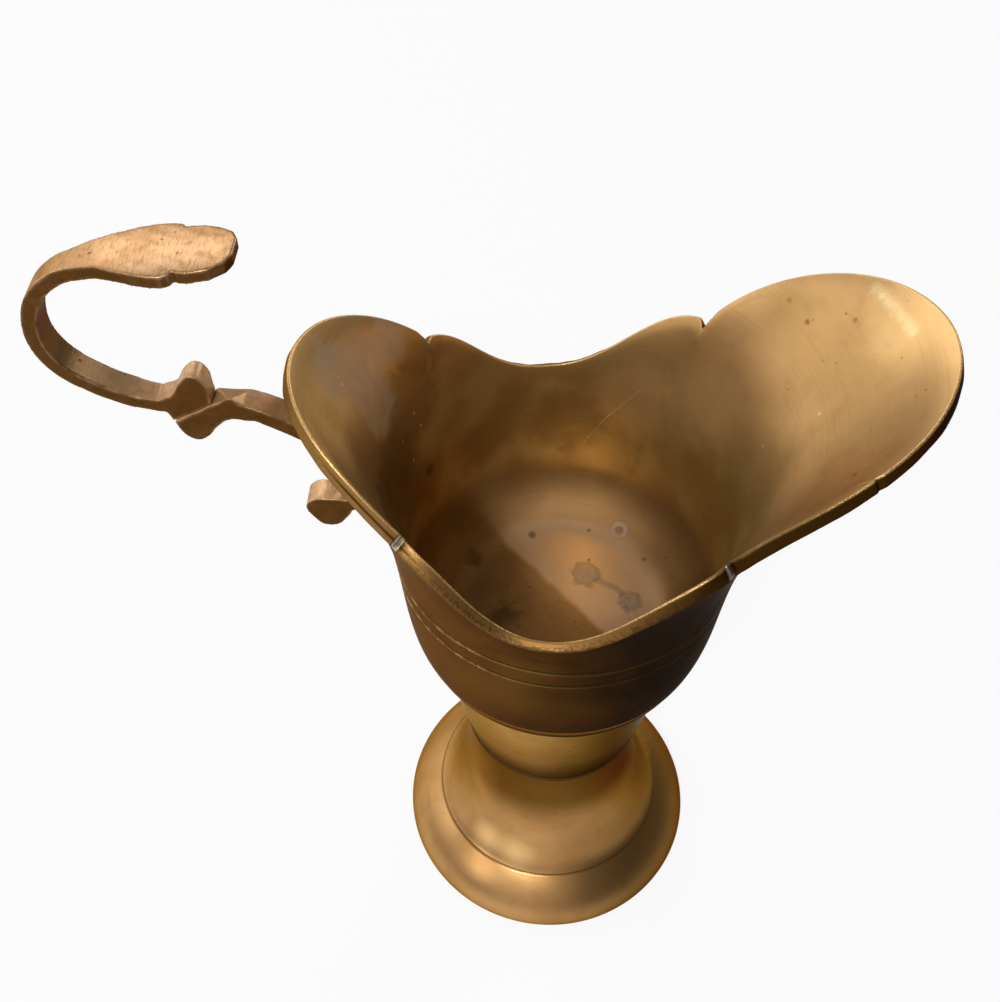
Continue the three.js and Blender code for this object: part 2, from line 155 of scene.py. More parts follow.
class NodeTree:
    """What shader and geometry trees share: nodes made from a type, inputs and settings."""

    tree: bpy.types.NodeTree

    def node(
        self, kind: str, inputs: dict[int | str, Any] | None = None, output: int | str = 0, **settings: Any,
    ) -> Field:
        """Add a node, set it up and fill or link its sockets.

        Args:
            kind: The node's type.
            inputs: A plain value or a field for each of its sockets.
            output: Which output is wanted.
            settings: Its own properties, which are set first.

        Returns:
            The output.
        """
        node = self.tree.nodes.new(kind)
        for name, setting in settings.items():
            setattr(node, name, setting)
        for key, given in (inputs or {}).items():
            socket = node.inputs[key]
            if isinstance(given, Field):
                self.tree.links.new(given.socket, socket)
            else:
                socket.default_value = (*given, 1) if socket.type == "RGBA" else given
        return Field(self, node.outputs[output])

    def math(self, operation: str, *operands: Field | Point | float) -> Field:
        """One Math node, or one Vector Math node where an operand is a vector.

        Args:
            operation: The node's operation.
            operands: Its inputs in order.

        Returns:
            The result.
        """
        inputs = dict(enumerate(operands))
        if not any(isinstance(given, Field) and given.socket.type == "VECTOR" for given in operands):
            return self.node("ShaderNodeMath", inputs, operation=operation)
        output = "Value" if operation in ("DOT_PRODUCT", "LENGTH") else "Vector"
        return self.node("ShaderNodeVectorMath", inputs, output, operation=operation)

    def combine(self, *parts: Field | float) -> Field:
        """A vector from its three parts."""
        return self.node("ShaderNodeCombineXYZ", dict(enumerate(parts)))

    def blend(self, first: Field | Colour, second: Field | Colour, share: Field | float) -> Field:
        """A mix of two colours."""
        return self.node("ShaderNodeMix", {0: share, 6: first, 7: second}, 2, data_type="RGBA")


@dataclass(frozen=True)
class Spot:
    """A round mark: its middle and its radius."""

    place: Point
    radius: float


def spots(*rows: tuple[float, float, float, float]) -> tuple[Spot, ...]:
    """Round marks, each from its middle and its radius."""
    return tuple(Spot(row[:3], row[3]) for row in rows)


class Shader(NodeTree):
    """One material's node tree."""

    def __init__(self, name: str, axis_x: float = 0) -> None:
        """Make an empty material with that name, for a piece about that turned axis.

        Args:
            name: The material's name.
            axis_x: Where the turned axis of its piece stands.
        """
        self.axis_x = axis_x
        self.material = bpy.data.materials.new(name)
        self.material.use_nodes = True
        self.tree = self.material.node_tree
        self.tree.nodes.clear()

    @cached_property
    def place(self) -> Field:
        """The object position in millimetres about the turned axis."""
        raw = self.node("ShaderNodeTexCoord", output="Object")
        return (raw - (self.axis_x * MM, 0, 0)) * (1 / MM, 1 / MM, 1 / MM)

    def attribute(self, name: str) -> Field:
        """A float attribute of the mesh."""
        return self.node("ShaderNodeAttribute", output="Fac", attribute_name=name)

    def noise(self, scale: float, detail: float = 2, swirl: float = 0, place: Field | None = None) -> Field:
        """Smooth noise between 0 and 1, with that many waves to a millimetre."""
        inputs = {"Vector": place or self.place, "Scale": scale, "Detail": detail, "Distortion": swirl}
        return self.node("ShaderNodeTexNoise", inputs)

    def cells(self, scale: float) -> tuple[Field, Field]:
        """The distance to the nearest scattered cell's middle, and a random value for each cell.

        Args:
            scale: Cells to a millimetre.

        Returns:
            The distance and the random value.
        """
        distance = self.node("ShaderNodeTexVoronoi", {"Vector": self.place, "Scale": scale})
        colour = Field(self, distance.socket.node.outputs["Color"])
        return distance, self.node("ShaderNodeSeparateColor", {0: colour})

    def near_line(self, points: Sequence[Point], width: float, shift: Field | None = None) -> Field:
        """A mask along a line of straight stretches.

        Args:
            points: The line's corners.
            width: Distance from the line where the mask has fallen to nothing.
            shift: Millimetres that push the line about.

        Returns:
            1 on the line and 0 away from it.
        """
        place = self.place if shift is None else self.place + shift
        mask: Field | None = None
        for start, end in zip(points, points[1:]):
            along = Vector(end) - Vector(start)
            offset = place - start
            share = offset.dot(tuple(along)) * (1 / along.length_squared)
            foot = self.combine(*along).scaled(self.node("ShaderNodeClamp", {0: share}))
            stretch = (offset - foot).length().step(width, 0)
            mask = stretch if mask is None else mask.either(stretch)
        return mask

    def near(self, spot: Spot, inner: float, sway: Field | None = None, outer: float = 1) -> Field:
        """A mask round a spot.

        Args:
            spot: The spot.
            inner: Share of its radius where the mask is 1.
            sway: Millimetres that push its edge about.
            outer: Share of its radius where the mask has fallen to nothing.

        Returns:
            1 in the spot and 0 away from it.
        """
        span = (self.place - spot.place).length()
        if sway is not None:
            span = span + sway
        return span.step(spot.radius * outer, spot.radius * inner)

    def metal(self, depth: float, relief: Field, inputs: dict[str, Any]) -> bpy.types.Material:
        """End the tree with a metal surface.

        Args:
            depth: Millimetres that a relief of 1 stands for.
            relief: Height for the bump, between about -1 and 1.
            inputs: What the surface is given besides.

        Returns:
            The finished material.
        """
        bump = self.node("ShaderNodeBump", {"Strength": 1, "Distance": depth * MM, "Height": relief})
        return self.end(self.node("ShaderNodeBsdfPrincipled", {**inputs, "Normal": bump}))

    def end(self, surface: Field) -> bpy.types.Material:
        """End the tree with a surface.

        Args:
            surface: The surface shown.

        Returns:
            The finished material.
        """
        output = self.tree.nodes.new("ShaderNodeOutputMaterial")
        self.tree.links.new(surface.socket, output.inputs["Surface"])
        return self.material


class Grain(Enum):
    """Which way the fine tool marks run."""

    TURNED = "turned"
    FILED = "filed"


@dataclass(frozen=True)
class BrassFinish:
    """Aged satin brass with tool marks, tarnish and casting pits."""

    name: str
    axis_x: float
    clean: Colour
    aged: Colour
    dark: Colour
    grain: Grain = Grain.TURNED
    roughness: float = 0.4
    metallic: float = 0.85
    edge_tint: Colour = (0.9, 0.8, 0.66)
    sheen_level: float = 0.3
    grime: float = 0.12
    streak: float = 0.16
    pits: float = 0.35
    patch_size: float = 22
    depth: float = 0.012

    def grain_place(self, shader: Shader) -> Field:
        """The position stretched along the tool marks, so that its noise shows as fine lines.

        Args:
            shader: The tree to build in.

        Returns:
            The stretched position.
        """
        if self.grain is Grain.FILED:
            return shader.place * (3, 0.35, 3)
        x, y, z = shader.place.split()
        radius = shader.math("SQRT", x * x + y * y)
        return shader.combine(x / radius * 2, y / radius * 2, z * 3.2 + radius * 2.4)

    def layers(self, shader: Shader) -> tuple[Field, Field, Field]:
        """Colour, roughness and relief of the brass itself, before any local marks.

        Args:
            shader: The tree to build in.

        Returns:
            The three fields.
        """
        patches = shader.noise(1 / self.patch_size, 3, 0.4).step(0.3, 0.72)
        grime = shader.noise(5 / self.patch_size, 5, 0.3, shader.place + (31, 7, 12)).step(0.46, 0.78)
        streaks = shader.noise(1.1, 3, place=self.grain_place(shader))
        grit = shader.noise(3.2)
        distance, chance = shader.cells(0.5)
        pits = distance.step(0.22, 0.08) * chance.step(1 - self.pits * 0.3, 1)
        colour = shader.blend(self.clean, self.aged, patches)
        for share in (grime * self.grime, streaks.step(0.5, 0.8) * self.streak, pits * 0.6):
            colour = colour.to(self.dark, share)
        roughness = self.roughness - 0.05 + patches * 0.04 + grit * 0.06 + streaks * 0.04
        return colour, roughness, streaks * 0.7 + grit * 0.4 - pits * 3

    def close(
        self, shader: Shader, colour: Field, roughness: Field, relief: Field, bare: Field | None = None,
    ) -> bpy.types.Material:
        """End the tree with this finish's own metal, or with a share of bare metal that varies.

        Args:
            shader: The tree to build in.
            colour: Base colour.
            roughness: Roughness.
            relief: Height for the bump, between about -1 and 1.
            bare: Share of bare metal where it varies, or None.

        Returns:
            The finished material.
        """
        return shader.metal(self.depth, relief, {
            "Base Color": colour, "Metallic": bare or self.metallic, "Roughness": roughness,
            "Specular Tint": self.edge_tint, "Specular IOR Level": self.sheen_level,
        })

    def build(self) -> bpy.types.Material:
        """Build the material."""
        shader = Shader(self.name, self.axis_x)
        return self.close(shader, *self.layers(shader))


@dataclass(frozen=True)
class ShadedFinish(BrassFinish):
    """Brass with painted shade on one side, past a height and in the seams, and painted highlight spots."""

    side_degrees: float = -10
    side_share: float = 0.7
    low: Pair = (0, 0)
    low_share: float = 0
    lit_edge: Pair = (-40, -36)
    side_edge: Pair = (2, 34)
    seams: tuple[Point, ...] = ()
    # Colour and places of the painted highlight spots.
    painted_light: Colour = srgb(255, 208, 142)
    painted_highlights: tuple[Spot, ...] = ()

    def build(self) -> bpy.types.Material:
        """Build the material.

        Returns:
            The finished material.
        """
        shader = Shader(self.name, self.axis_x)
        colour, roughness, relief = self.layers(shader)
        turn = math.radians(self.side_degrees)
        height = shader.place.split()[2]
        across = shader.place.dot((math.cos(turn), math.sin(turn), 0)) + (shader.noise(0.05, 3) * 12 - 6)
        # Painted shade: darker on the side past side_edge.
        colour = colour.to(self.dark, across.step(*self.side_edge) * self.side_share)
        # Painted shade past a set height, on the side away from the lit edge.
        if self.low_share:
            shade = height.step(self.low[1], self.low[0]) * across.step(*self.lit_edge)
            colour = colour.to(self.dark, shade * self.low_share)
        # Painted highlights: lighter spots where the lamps' highlights fall on the bell.
        for spot in self.painted_highlights:
            colour = colour.to(self.painted_light, shader.near(spot, 0) * 0.7)
        # Painted shade in the seams between parts and in the foot's incised ring.
        for middle, reach, solid in self.seams:
            colour = colour.to(self.dark, (height - middle).size().step(reach, solid) * 0.75)
        return self.close(shader, colour, roughness, relief)


@dataclass(frozen=True)
class StrapFinish(BrassFinish):
    """The handle's brass: lighter on top, brown on its sides, partly patina and partly painted shade, with
    painted shade inside the C.
    """

    flank: Colour = srgb(80, 48, 8)
    inner: Colour = srgb(116, 93, 66)

    def build(self) -> bpy.types.Material:
        """Build the material.

        Returns:
            The finished material.
        """
        shader = Shader(self.name, self.axis_x)
        colour, roughness, relief = self.layers(shader)
        flank, under, arris = (shader.attribute(name) for name in ("flank", "under", "arris"))
        cloud = shader.noise(0.3, 4)
        brown = shader.blend(self.flank, self.dark, cloud.step(0.4, 0.7))
        x, _, height = shader.place.split()
        # Painted shade: the inside of the C greyish and darker, darker still towards its left end.
        colour = colour.to(self.inner, under * 0.85)
        colour = colour.to(self.dark, under * x.step(-96, -109) * 0.6)
        # The sides brown, partly patina and partly painted shade.
        colour = colour.to(brown, flank * (0.8 + cloud * 0.25))
        colour = colour.to(self.clean, arris * cloud.step(0.35, 0.65) * 0.45)
        low_run = (1 - flank) * x.step(-106, -90) * height.step(205, 199)
        bare = self.metallic - low_run * (0.6 - x.step(-82, -74) * 0.35)
        return self.close(shader, colour, roughness + flank * 0.06, relief * (1 - flank * 0.5), bare)


@dataclass(frozen=True)
class BowlFinish(BrassFinish):
    """The bowl's brass: dark outside, golden inside, worn on the rim, with its stains and scratches, and
    painted light and shade.
    """

    deep: Colour = srgb(188, 157, 94)
    deep_aged: Colour = srgb(163, 132, 72)
    deep_dark: Colour = srgb(120, 88, 44)
    outside: Colour = srgb(141, 107, 58)
    # The outside's colour, and the darker colour of its painted shade.
    outside_dark: Colour = srgb(24, 16, 4)
    groove: Colour = srgb(30, 19, 5)
    rim: Colour = srgb(168, 126, 72)
    rim_dark: Colour = srgb(62, 40, 12)
    bright: Colour = srgb(240, 196, 132)
    # Colour of the painted highlight streak.
    pale: Colour = srgb(255, 232, 178)
    # Pale silver of the back notches' filed faces, partly a painted highlight.
    filed_shine: Colour = srgb(226, 220, 208)
    filed: Colour = srgb(150, 136, 120)
    crust: Colour = srgb(200, 180, 162)
    greyed: Colour = srgb(170, 142, 116)
    # Colour of the painted pool of light on the floor, and the slanting edge where it ends.
    floor_light: Colour = srgb(244, 214, 178)
    floor_edge: tuple[Point, Point] = ((-9.9, 15.4, 109), (0.72, 0.69, 0))
    stains: tuple[Spot, ...] = spots((6.8, 11.4, 109, 3.1), (18.4, 3.4, 109, 2.5))
    blots: tuple[Spot, ...] = spots(
        (-14.5, -3.1, 109, 5.2), (-23, 14.7, 109.9, 3.2), (-34.2, 18.9, 140.7, 2.2), (-7.9, 23.9, 109, 1.3),
        (7.6, 25.8, 110, 0.8), (22.4, 16.4, 110, 1.0), (7.7, 16.1, 109, 0.6), (47.8, 30, 190.3, 0.9),
        (51.3, 24, 189.4, 0.8), (59.7, 18.3, 195.4, 0.8), (54.4, -22.9, 192.2, 0.7),
        (66.8, -8.6, 199.7, 0.6),
    )
    # Places of painted glints: small highlight spots.
    glints: tuple[Spot, ...] = spots(
        (52.7, 2.9, 182.2, 0.5), (43.8, 7.4, 166.4, 0.5), (-35.7, 20.1, 155.7, 0.5),
        (-39.3, 12.9, 157.4, 0.4), (-37.2, 19.6, 160.4, 0.5), (-37.3, 14.5, 149.2, 0.5),
        (56.4, -22.0, 193.6, 0.5), (-50.8, 5.7, 183.3, 0.6),
    )
    crack: tuple[Point, ...] = (
        (9.1, 10.2, 109), (12.2, 8.4, 109), (14.9, 7.2, 109), (17.5, 4.2, 109), (17.6, 0, 109),
    )
    ring: Point = (15.8, 25.2, 111.0)
    patch: tuple[Spot, ...] = spots(
        (-47, 12, 181, 12), (-43.5, 11, 171, 9), (-51, 6, 188, 9), (-42, 22, 181, 8),
    )
    # Painted light: lighter patches inside the bowl and at the spout's tip.
    lights: tuple[Spot, ...] = spots(
        (17, 37.5, 151, 16), (34, 26, 160, 16), (46, -12.5, 174, 12), (67, 12, 201, 13), (-48, -13, 183, 10),
    )
    # Painted shade: darker patches inside the bowl.
    shades: tuple[Spot, ...] = spots(
        (-36, 28, 178, 13), (-40, 20, 163, 14), (-41, 6, 154, 13), (-40, -8, 158, 10),
        (9.5, 37, 130, 14), (0, 38, 139, 13),
    )
    # Line of a painted highlight streak inside the spout near its tip.
    highlight_streak: tuple[Point, ...] = ((64.2, 22.9, 201.0), (66.9, 16.6, 201.5), (69.4, 9.4, 201.9))
    scratches: tuple[tuple[Point, ...], ...] = (
        ((18.1, 36.4, 153.9), (11.2, 37.7, 143.1), (5.3, 38.0, 132.9), (-1.6, 35.1, 116.1)),
        ((38.5, -8.6, 144.3), (40.3, -10.1, 157.7), (43.2, -7.2, 164.8)),
        ((41.1, -29.1, 181.9), (47.0, -20.9, 181.7), (52.3, -14.0, 184.8)),
        ((-50.4, 5.7, 183.1), (-48.5, 5.1, 179.2)),
    )

    def haze(self, shader: Shader) -> Field:
        """The grey bloom on the back lobe, with a cloudy edge.

        Args:
            shader: The tree to build in.

        Returns:
            Its mask.
        """
        sway = (shader.noise(0.16, 5, 1.2) - 0.5) * 10
        haze, *others = (shader.near(spot, 0.5, sway) for spot in self.patch)
        for mask in others:
            haze = haze.either(mask)
        return haze

    def marks(self, shader: Shader, colour: Field, relief: Field) -> tuple[Field, Field]:
        """Lay the stains, blots, specks and scratches on the inside, with painted light and shade patches,
        painted glints and a painted highlight streak.

        Args:
            shader: The tree to build in.
            colour: The brass so far.
            relief: The relief so far.

        Returns:
            Colour and relief with the marks.
        """
        wander = shader.noise(0.5, 4)
        cloud = shader.noise(0.16, 5, 1.2)
        # Painted light and painted shade patches.
        for tone, marked, sway, inner, share in (
            (self.bright, self.lights, 6, 0.2, 0.55), (self.deep_dark, self.shades, 8, 0.55, 0.45),
        ):
            for spot in marked:
                colour = colour.to(tone, shader.near(spot, inner, (cloud - 0.5) * sway) * share)
        colour = colour.to(self.greyed, self.haze(shader) * (0.4 + cloud.step(0.4, 0.6) * 0.4))
        for spot in self.blots:
            mask = shader.near(spot, 0.2, (wander - 0.5) * (spot.radius * 1.5), 1.2)
            colour = colour.to(self.dark, mask * 0.65)
        vein = shader.near_line(self.crack, 1.5, shader.combine(wander - 0.5, wander - 0.5, 0))
        colour = colour.to(self.dark, vein * 0.35).to(self.crust, vein.step(0.35, 0.9) * 0.75)
        mottled = shader.noise(0.9, 4)
        for spot in self.stains:
            sway = (wander - 0.5) * (spot.radius * 1.2)
            colour = colour.to(self.dark, shader.near(spot, 1, sway, 1.5) * 0.4)
            core = shader.near(spot, 0.75, sway, 1.2)
            colour = colour.to(self.crust, core * (0.35 + mottled.step(0.3, 0.6) * 0.6))
            relief = relief + core * mottled * 4
        gap = (shader.place - self.ring).length() + (wander - 0.5) * 0.8
        colour = colour.to(self.dark, gap.step(3.2, 2.2) * 0.3)
        colour = colour.to(self.crust, gap.step(0.9, 1.6) * gap.step(2.8, 2.1) * 0.45)
        # Painted glints.
        for spot in self.glints:
            colour = colour.to(self.bright, shader.near(spot, 0.6) * 0.8)
        broken = shader.noise(1.4, 3).step(0.3, 0.6)
        # A painted highlight streak.
        highlight_streak = shader.near_line(self.highlight_streak, 2.2, shader.combine(wander * 2, wander * 2, 0))
        colour = colour.to(self.pale, highlight_streak * (0.28 + wander.step(0.3, 0.7) * 0.25))
        for line in self.scratches:
            mark = shader.near_line(line, 0.3) * broken
            colour = colour.to(self.bright, mark * 0.5)
            relief = relief - mark * 4
        return colour, relief

    def exterior(self, shader: Shader) -> Field:
        """The brown outside, with painted shade darker towards the spout's near side and painted highlights
        on the turned lines' lips.

        Args:
            shader: The tree to build in.

        Returns:
            Its colour.
        """
        across = shader.place.dot((math.cos(math.radians(-30)), math.sin(math.radians(-30)), 0))
        cloud = shader.noise(0.05, 4, 0.5)
        # Painted shade: darker towards the spout's near side.
        coat = shader.blend(self.outside, self.outside_dark, (across + cloud * 24 - 12).step(-30, 54))
        rub = shader.noise(0.5, 3, place=self.grain_place(shader)).step(0.55, 0.8)
        blotch = shader.noise(0.07, 3, 0.4, shader.place + (5, 40, 3)).step(0.4, 0.75)
        # Scuffs that carry a painted highlight on the turned lines' lower lips, on the left side.
        scuffs_and_glint = shader.noise(0.35, 4).step(0.42, 0.62) * across.step(16, -22)
        for tone, share in (
            (self.rim, rub * 0.1), (self.rim_dark, blotch * 0.22),
            (self.groove, shader.attribute("groove") * 0.8), (self.rim, shader.attribute("base") * 0.6),
            (self.bright, shader.attribute("lip") * (0.04 + scuffs_and_glint * 0.5)),
        ):
            coat = coat.to(tone, share)
        return coat

    def floor(self, shader: Shader, colour: Field) -> Field:
        """The floor: a painted pool of light on the spout's side of a slanting edge, painted shadow on the
        other side darker towards the near wall, and painted shade in the corner.

        Args:
            shader: The tree to build in.
            colour: The brass so far.

        Returns:
            The colour with the floor laid on.
        """
        start, across = self.floor_edge
        wave = shader.noise(0.12) * 2 - 1
        x, y, height = shader.place.split()
        radius = shader.math("SQRT", x * x + y * y)
        low = radius.step(32, 22) * height.step(113, 111) * 0.85 + height.step(128, 112) * 0.08
        # Painted light on the far side of the slanting edge, painted shadow on the near side.
        painted_light = ((shader.place - start).dot(across) + wave).step(-1.2, 1.2)
        # Painted shade in the corner where the floor meets the wall.
        corner = radius.step(24, 31) * height.step(130, 118) * (0.28 + x.step(8, 26) * 0.25)
        colour = colour.to(self.dark, low * (1 - painted_light) * (0.02 + y.step(9, -6) * 0.18))
        return colour.to(self.floor_light, low * painted_light * 0.8).to(self.dark, corner)

    def brim(self, shader: Shader) -> tuple[Field, Field]:
        """Colour and relief of the rim's edge face, from its outer facet to its inner arris, with its painted
        shade and a painted highlight along the arris.

        Args:
            shader: The tree to build in.

        Returns:
            The colour and the relief.
        """
        across = shader.attribute("across")
        x, y, _ = shader.place.split()
        pitted = shader.noise(1.3, 4).step(0.42, 0.6)
        sparkle = shader.noise(2.6).step(0.32, 0.55)
        crease = (across - 0.48).size().step(0.16, 0.03) * (x.step(-30, -35) * y.step(-20, -26))
        # Painted shade: the face darker on the spout's near side, towards the back, in the crease and on the
        # near low side; the pits darker too.
        toned = shader.blend(self.rim, self.rim_dark, x.step(0, 30) * y.step(12, -8))
        for share in (
            x.step(-12, -30) * 0.22, pitted * across.step(0.75, 0.35) * x.step(-40, -20) * 0.55,
            crease * 0.85, y.step(-20, -34) * x.step(-38, -20) * 0.5,
        ):
            toned = toned.to(self.rim_dark, share)
        # A painted highlight along the inner arris, fainter on the spout's near side.
        spout_near = x.step(24, 30) * x.step(62, 44) * y.step(0, -6)
        glint = across.step(0.8, 0.94) * (0.2 + sparkle * 0.6)
        toned = toned.to(self.bright, glint * (1 - spout_near * 0.8))
        return toned, pitted * across.step(0.8, 0.4) * -2 - crease * 3 + sparkle

    def build(self) -> bpy.types.Material:
        """Build the material.

        Returns:
            The finished material.
        """
        shader = Shader(self.name, self.axis_x)
        inside, edge, filed, deep, ridge = (
            shader.attribute(name) for name in ("inside", "edge", "filed", "deep", "ridge"))
        colour, roughness, relief = self.layers(shader)
        tarnish = shader.noise(0.06, 3).step(0.35, 0.65)
        x, _, level = shader.place.split()
        # Painted shade: the inside darker towards the left, more so on the wall below a height.
        left = x.step(-4, -28)
        lower = shader.blend(self.deep, self.deep_aged, tarnish)
        lower = lower.to(self.dark, left * (0.2 + tarnish * 0.3))
        colour = colour.to(self.dark, left * level.step(140, 116) * inside * 0.5).to(lower, deep * 0.9)
        colour, marked = self.marks(shader, self.floor(shader, colour), relief)
        colour = self.exterior(shader).to(colour, inside)
        face, pitting = self.brim(shader)
        for tone, share in (
            (face, edge), (self.rim_dark, filed.step(0.02, 0.3) * 0.8),
            # The filed notches' faces: grey at the spout, pale silver at the back that is partly a painted
            # highlight.
            (shader.blend(self.filed_shine, self.filed, x.step(-5, 5)), filed.step(0.3, 0.6) * 0.85),
            (self.rim_dark, filed * ridge.step(0.3, 0.9) * 0.75),
        ):
            colour = colour.to(tone, share)
        relief = relief + (marked - relief) * inside + pitting * edge
        polished = inside * (1 - deep) * level.step(130, 150)
        matt = level.step(109, 110.8) * level.step(126, 118) * inside
        roughness = roughness - filed * 0.12 - polished * 0.07 + matt * 0.2
        haze = self.haze(shader) * inside
        bare = self.metallic + (1 - inside) * 0.07 + matt * 0.1 - haze * 0.4
        return self.close(shader, colour, roughness, relief, bare)


@dataclass(frozen=True)
class SteelFinish:
    """Dull zinc plated steel for the hidden washer and nut."""

    name: str = "dull_zinc"

    def build(self) -> bpy.types.Material:
        """Build the material.

        Returns:
            The finished material.
        """
        shader = Shader(self.name)
        cloud = shader.noise(0.5, 4)
        colour = shader.blend(srgb(168, 168, 165), srgb(112, 108, 100), cloud.step(0.4, 0.7) * 0.7)
        surface = {"Base Color": colour, "Metallic": 1, "Roughness": 0.42 + cloud * 0.15}
        return shader.metal(0.01, shader.noise(4), surface)


def link_object(name: str, data: bpy.types.ID) -> bpy.types.Object:
    """A new object in the scene.

    Args:
        name: The object's name.
        data: Its mesh, lamp or camera.

    Returns:
        The object.
    """
    thing = bpy.data.objects.new(name, data)
    bpy.context.scene.collection.objects.link(thing)
    return thing


def baked_mesh(thing: bpy.types.Object) -> bpy.types.Mesh:
    """An object's mesh with its modifiers applied."""
    graph = bpy.context.evaluated_depsgraph_get()
    return bpy.data.meshes.new_from_object(thing.evaluated_get(graph))


class GeometryTree(NodeTree):
    """A geometry node tree with named inputs."""

    def __init__(self, name: str, sizes: dict[str, float | int]) -> None:
        """Make the tree with its sizes as inputs.

        Args:
            name: The tree's name.
            sizes: Each named size; an int makes a whole number input.
        """
        self.tree = bpy.data.node_groups.new(name, "GeometryNodeTree")
        self.sizes = sizes
        kinds = {label: "Int" if isinstance(size, int) else "Float" for label, size in sizes.items()}
        for label, kind in {"Geometry": "Geometry", **kinds, "Material": "Material"}.items():
            self.tree.interface.new_socket(label, in_out="INPUT", socket_type=f"NodeSocket{kind}")
        self.tree.interface.new_socket("Geometry", in_out="OUTPUT", socket_type="NodeSocketGeometry")
        self.entry = self.tree.nodes.new("NodeGroupInput")

    def given(self, label: str) -> Field:
        """A named input."""
        return Field(self, self.entry.outputs[label])

    def end(self, geometry: Field) -> None:
        """End the tree by making instances real and setting the material.

        Args:
            geometry: What the tree gives out.
        """
        real = self.node("GeometryNodeRealizeInstances", {0: geometry})
        dressed = self.node("GeometryNodeSetMaterial", {"Geometry": real, "Material": self.given("Material")})
        leave = self.tree.nodes.new("NodeGroupOutput")
        self.tree.links.new(dressed.socket, leave.inputs[0])

    def make(self, name: str, seed: bpy.types.Mesh, material: bpy.types.Material) -> bpy.types.Object:
        """Run the tree on a seed mesh and keep the result as a plain mesh.

        Args:
            name: Name of the object.
            seed: The points or lines that the tree starts from.
            material: The finish it sets.

        Returns:
            The object with its modifier removed.
        """
        thing = link_object(name, seed)
        modifier = thing.modifiers.new(self.tree.name, "NODES")
        modifier.node_group = self.tree
        values = {**self.sizes, "Material": material}
        for item in self.tree.interface.items_tree:
            if item.in_out == "INPUT" and item.name in values:
                modifier[item.identifier] = values[item.name]
        result = baked_mesh(thing)
        thing.modifiers.remove(modifier)
        thing.data = result
        result.name = name
        return thing


def line_mesh(name: str, points: Sequence[Point]) -> bpy.types.Mesh:
    """A mesh of one closed line through points given in millimetres.

    Args:
        name: The mesh's name.
        points: The line's corners.

    Returns:
        The mesh, in metres.
    """
    edges = [(index, (index + 1) % len(points)) for index in range(len(points))]
    mesh = bpy.data.meshes.new(name)
    mesh.from_pydata([tuple(part * MM for part in point) for point in points], edges, [])
    return mesh


def read_vectors(items: Any, label: str) -> np.ndarray:
    """One vector of each vertex or normal of a mesh.

    Args:
        items: A mesh's vertices or normals.
        label: The property that is read.

    Returns:
        The vectors, one in a row.
    """
    flat = np.empty(len(items) * 3, dtype=np.float32)
    items.foreach_get(label, flat)
    return flat.reshape(-1, 3)


def set_layer(mesh: bpy.types.Mesh, label: str, values: np.ndarray) -> None:
    """Store one value for each vertex of a mesh."""
    store = mesh.attributes.new(label, "FLOAT", "POINT")
    store.data.foreach_set("value", values.astype(np.float32))


def grid_mesh(
    name: str, rings: np.ndarray, poles: tuple[Point, Point] | None, layers: dict[str, np.ndarray],
) -> bpy.types.Mesh:
    """A closed skin over a stack of rings.

    Args:
        name: The mesh's name.
        rings: Points in millimetres, as ring by column by axis.
        poles: A point that closes each end, or None where the last ring joins the first.
        layers: A value for each ring and column, kept as float attributes.

    Returns:
        The mesh, in metres.
    """
    rows, columns = rings.shape[:2]
    column = np.arange(columns)
    after = (column + 1) % columns
    pairs = [(row, row + 1) for row in range(rows - 1)]
    if poles is None:
        pairs.append((rows - 1, 0))
    faces: list[Sequence[int]] = []
    for low, high in pairs:
        low, high = low * columns, high * columns
        corners = (low + column, low + after, high + after, high + column)
        faces.extend(np.stack(corners, axis=1).tolist())
    points = rings.reshape(-1, 3)
    if poles is not None:
        first = np.full(columns, rows * columns)
        top = (rows - 1) * columns
        for corners in ((first, after, column), (first + 1, top + column, top + after)):
            faces.extend(np.stack(corners, axis=1).tolist())
        points = np.vstack([points, np.array(poles)])
    mesh = bpy.data.meshes.new(name)
    mesh.from_pydata((points * MM).tolist(), [], faces)
    for label, values in layers.items():
        flat = values.ravel()
        if poles is not None:
            flat = np.concatenate([flat, [flat[0], flat[-1]]])
        set_layer(mesh, label, flat)
    return mesh


def smooth_mesh(mesh: bpy.types.Mesh, degrees: float) -> None:
    """Shade a mesh smooth apart from edges sharper than an angle."""
    mesh.shade_smooth()
    mesh.set_sharp_from_angle(angle=math.radians(degrees))


def add_object(name: str, mesh: bpy.types.Mesh, material: bpy.types.Material) -> bpy.types.Object:
    """Put a mesh in the scene as an object with one material.

    Args:
        name: The object's name.
        mesh: Its mesh.
        material: Its finish.

    Returns:
        The object.
    """
    mesh.materials.clear()
    mesh.materials.append(material)
    return link_object(name, mesh)


def attach(thing: bpy.types.Object, slot: str, *nodes: str) -> None:
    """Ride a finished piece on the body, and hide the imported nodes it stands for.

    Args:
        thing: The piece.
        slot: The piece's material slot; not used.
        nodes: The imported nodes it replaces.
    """
    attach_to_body(thing, BODY)
    if nodes:
        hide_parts(*nodes)
    LOG.info("%s: %d faces", thing.name, len(thing.data.polygons))


def bezier(points: Sequence[Pair], steps: int) -> Profile:
    """Points along a cubic curve.

    Args:
        points: Its start, two handles and end.
        steps: Stretches along it.

    Returns:
        The points, both ends included.
    """
    share = np.linspace(0, 1, steps + 1)[:, None]
    a, b, c, d = (np.array(point) for point in points)
    left = 1 - share
    curve = left**3 * a + 3 * left**2 * share * b + 3 * left * share**2 * c + share**3 * d
    return [tuple(point) for point in curve.tolist()]


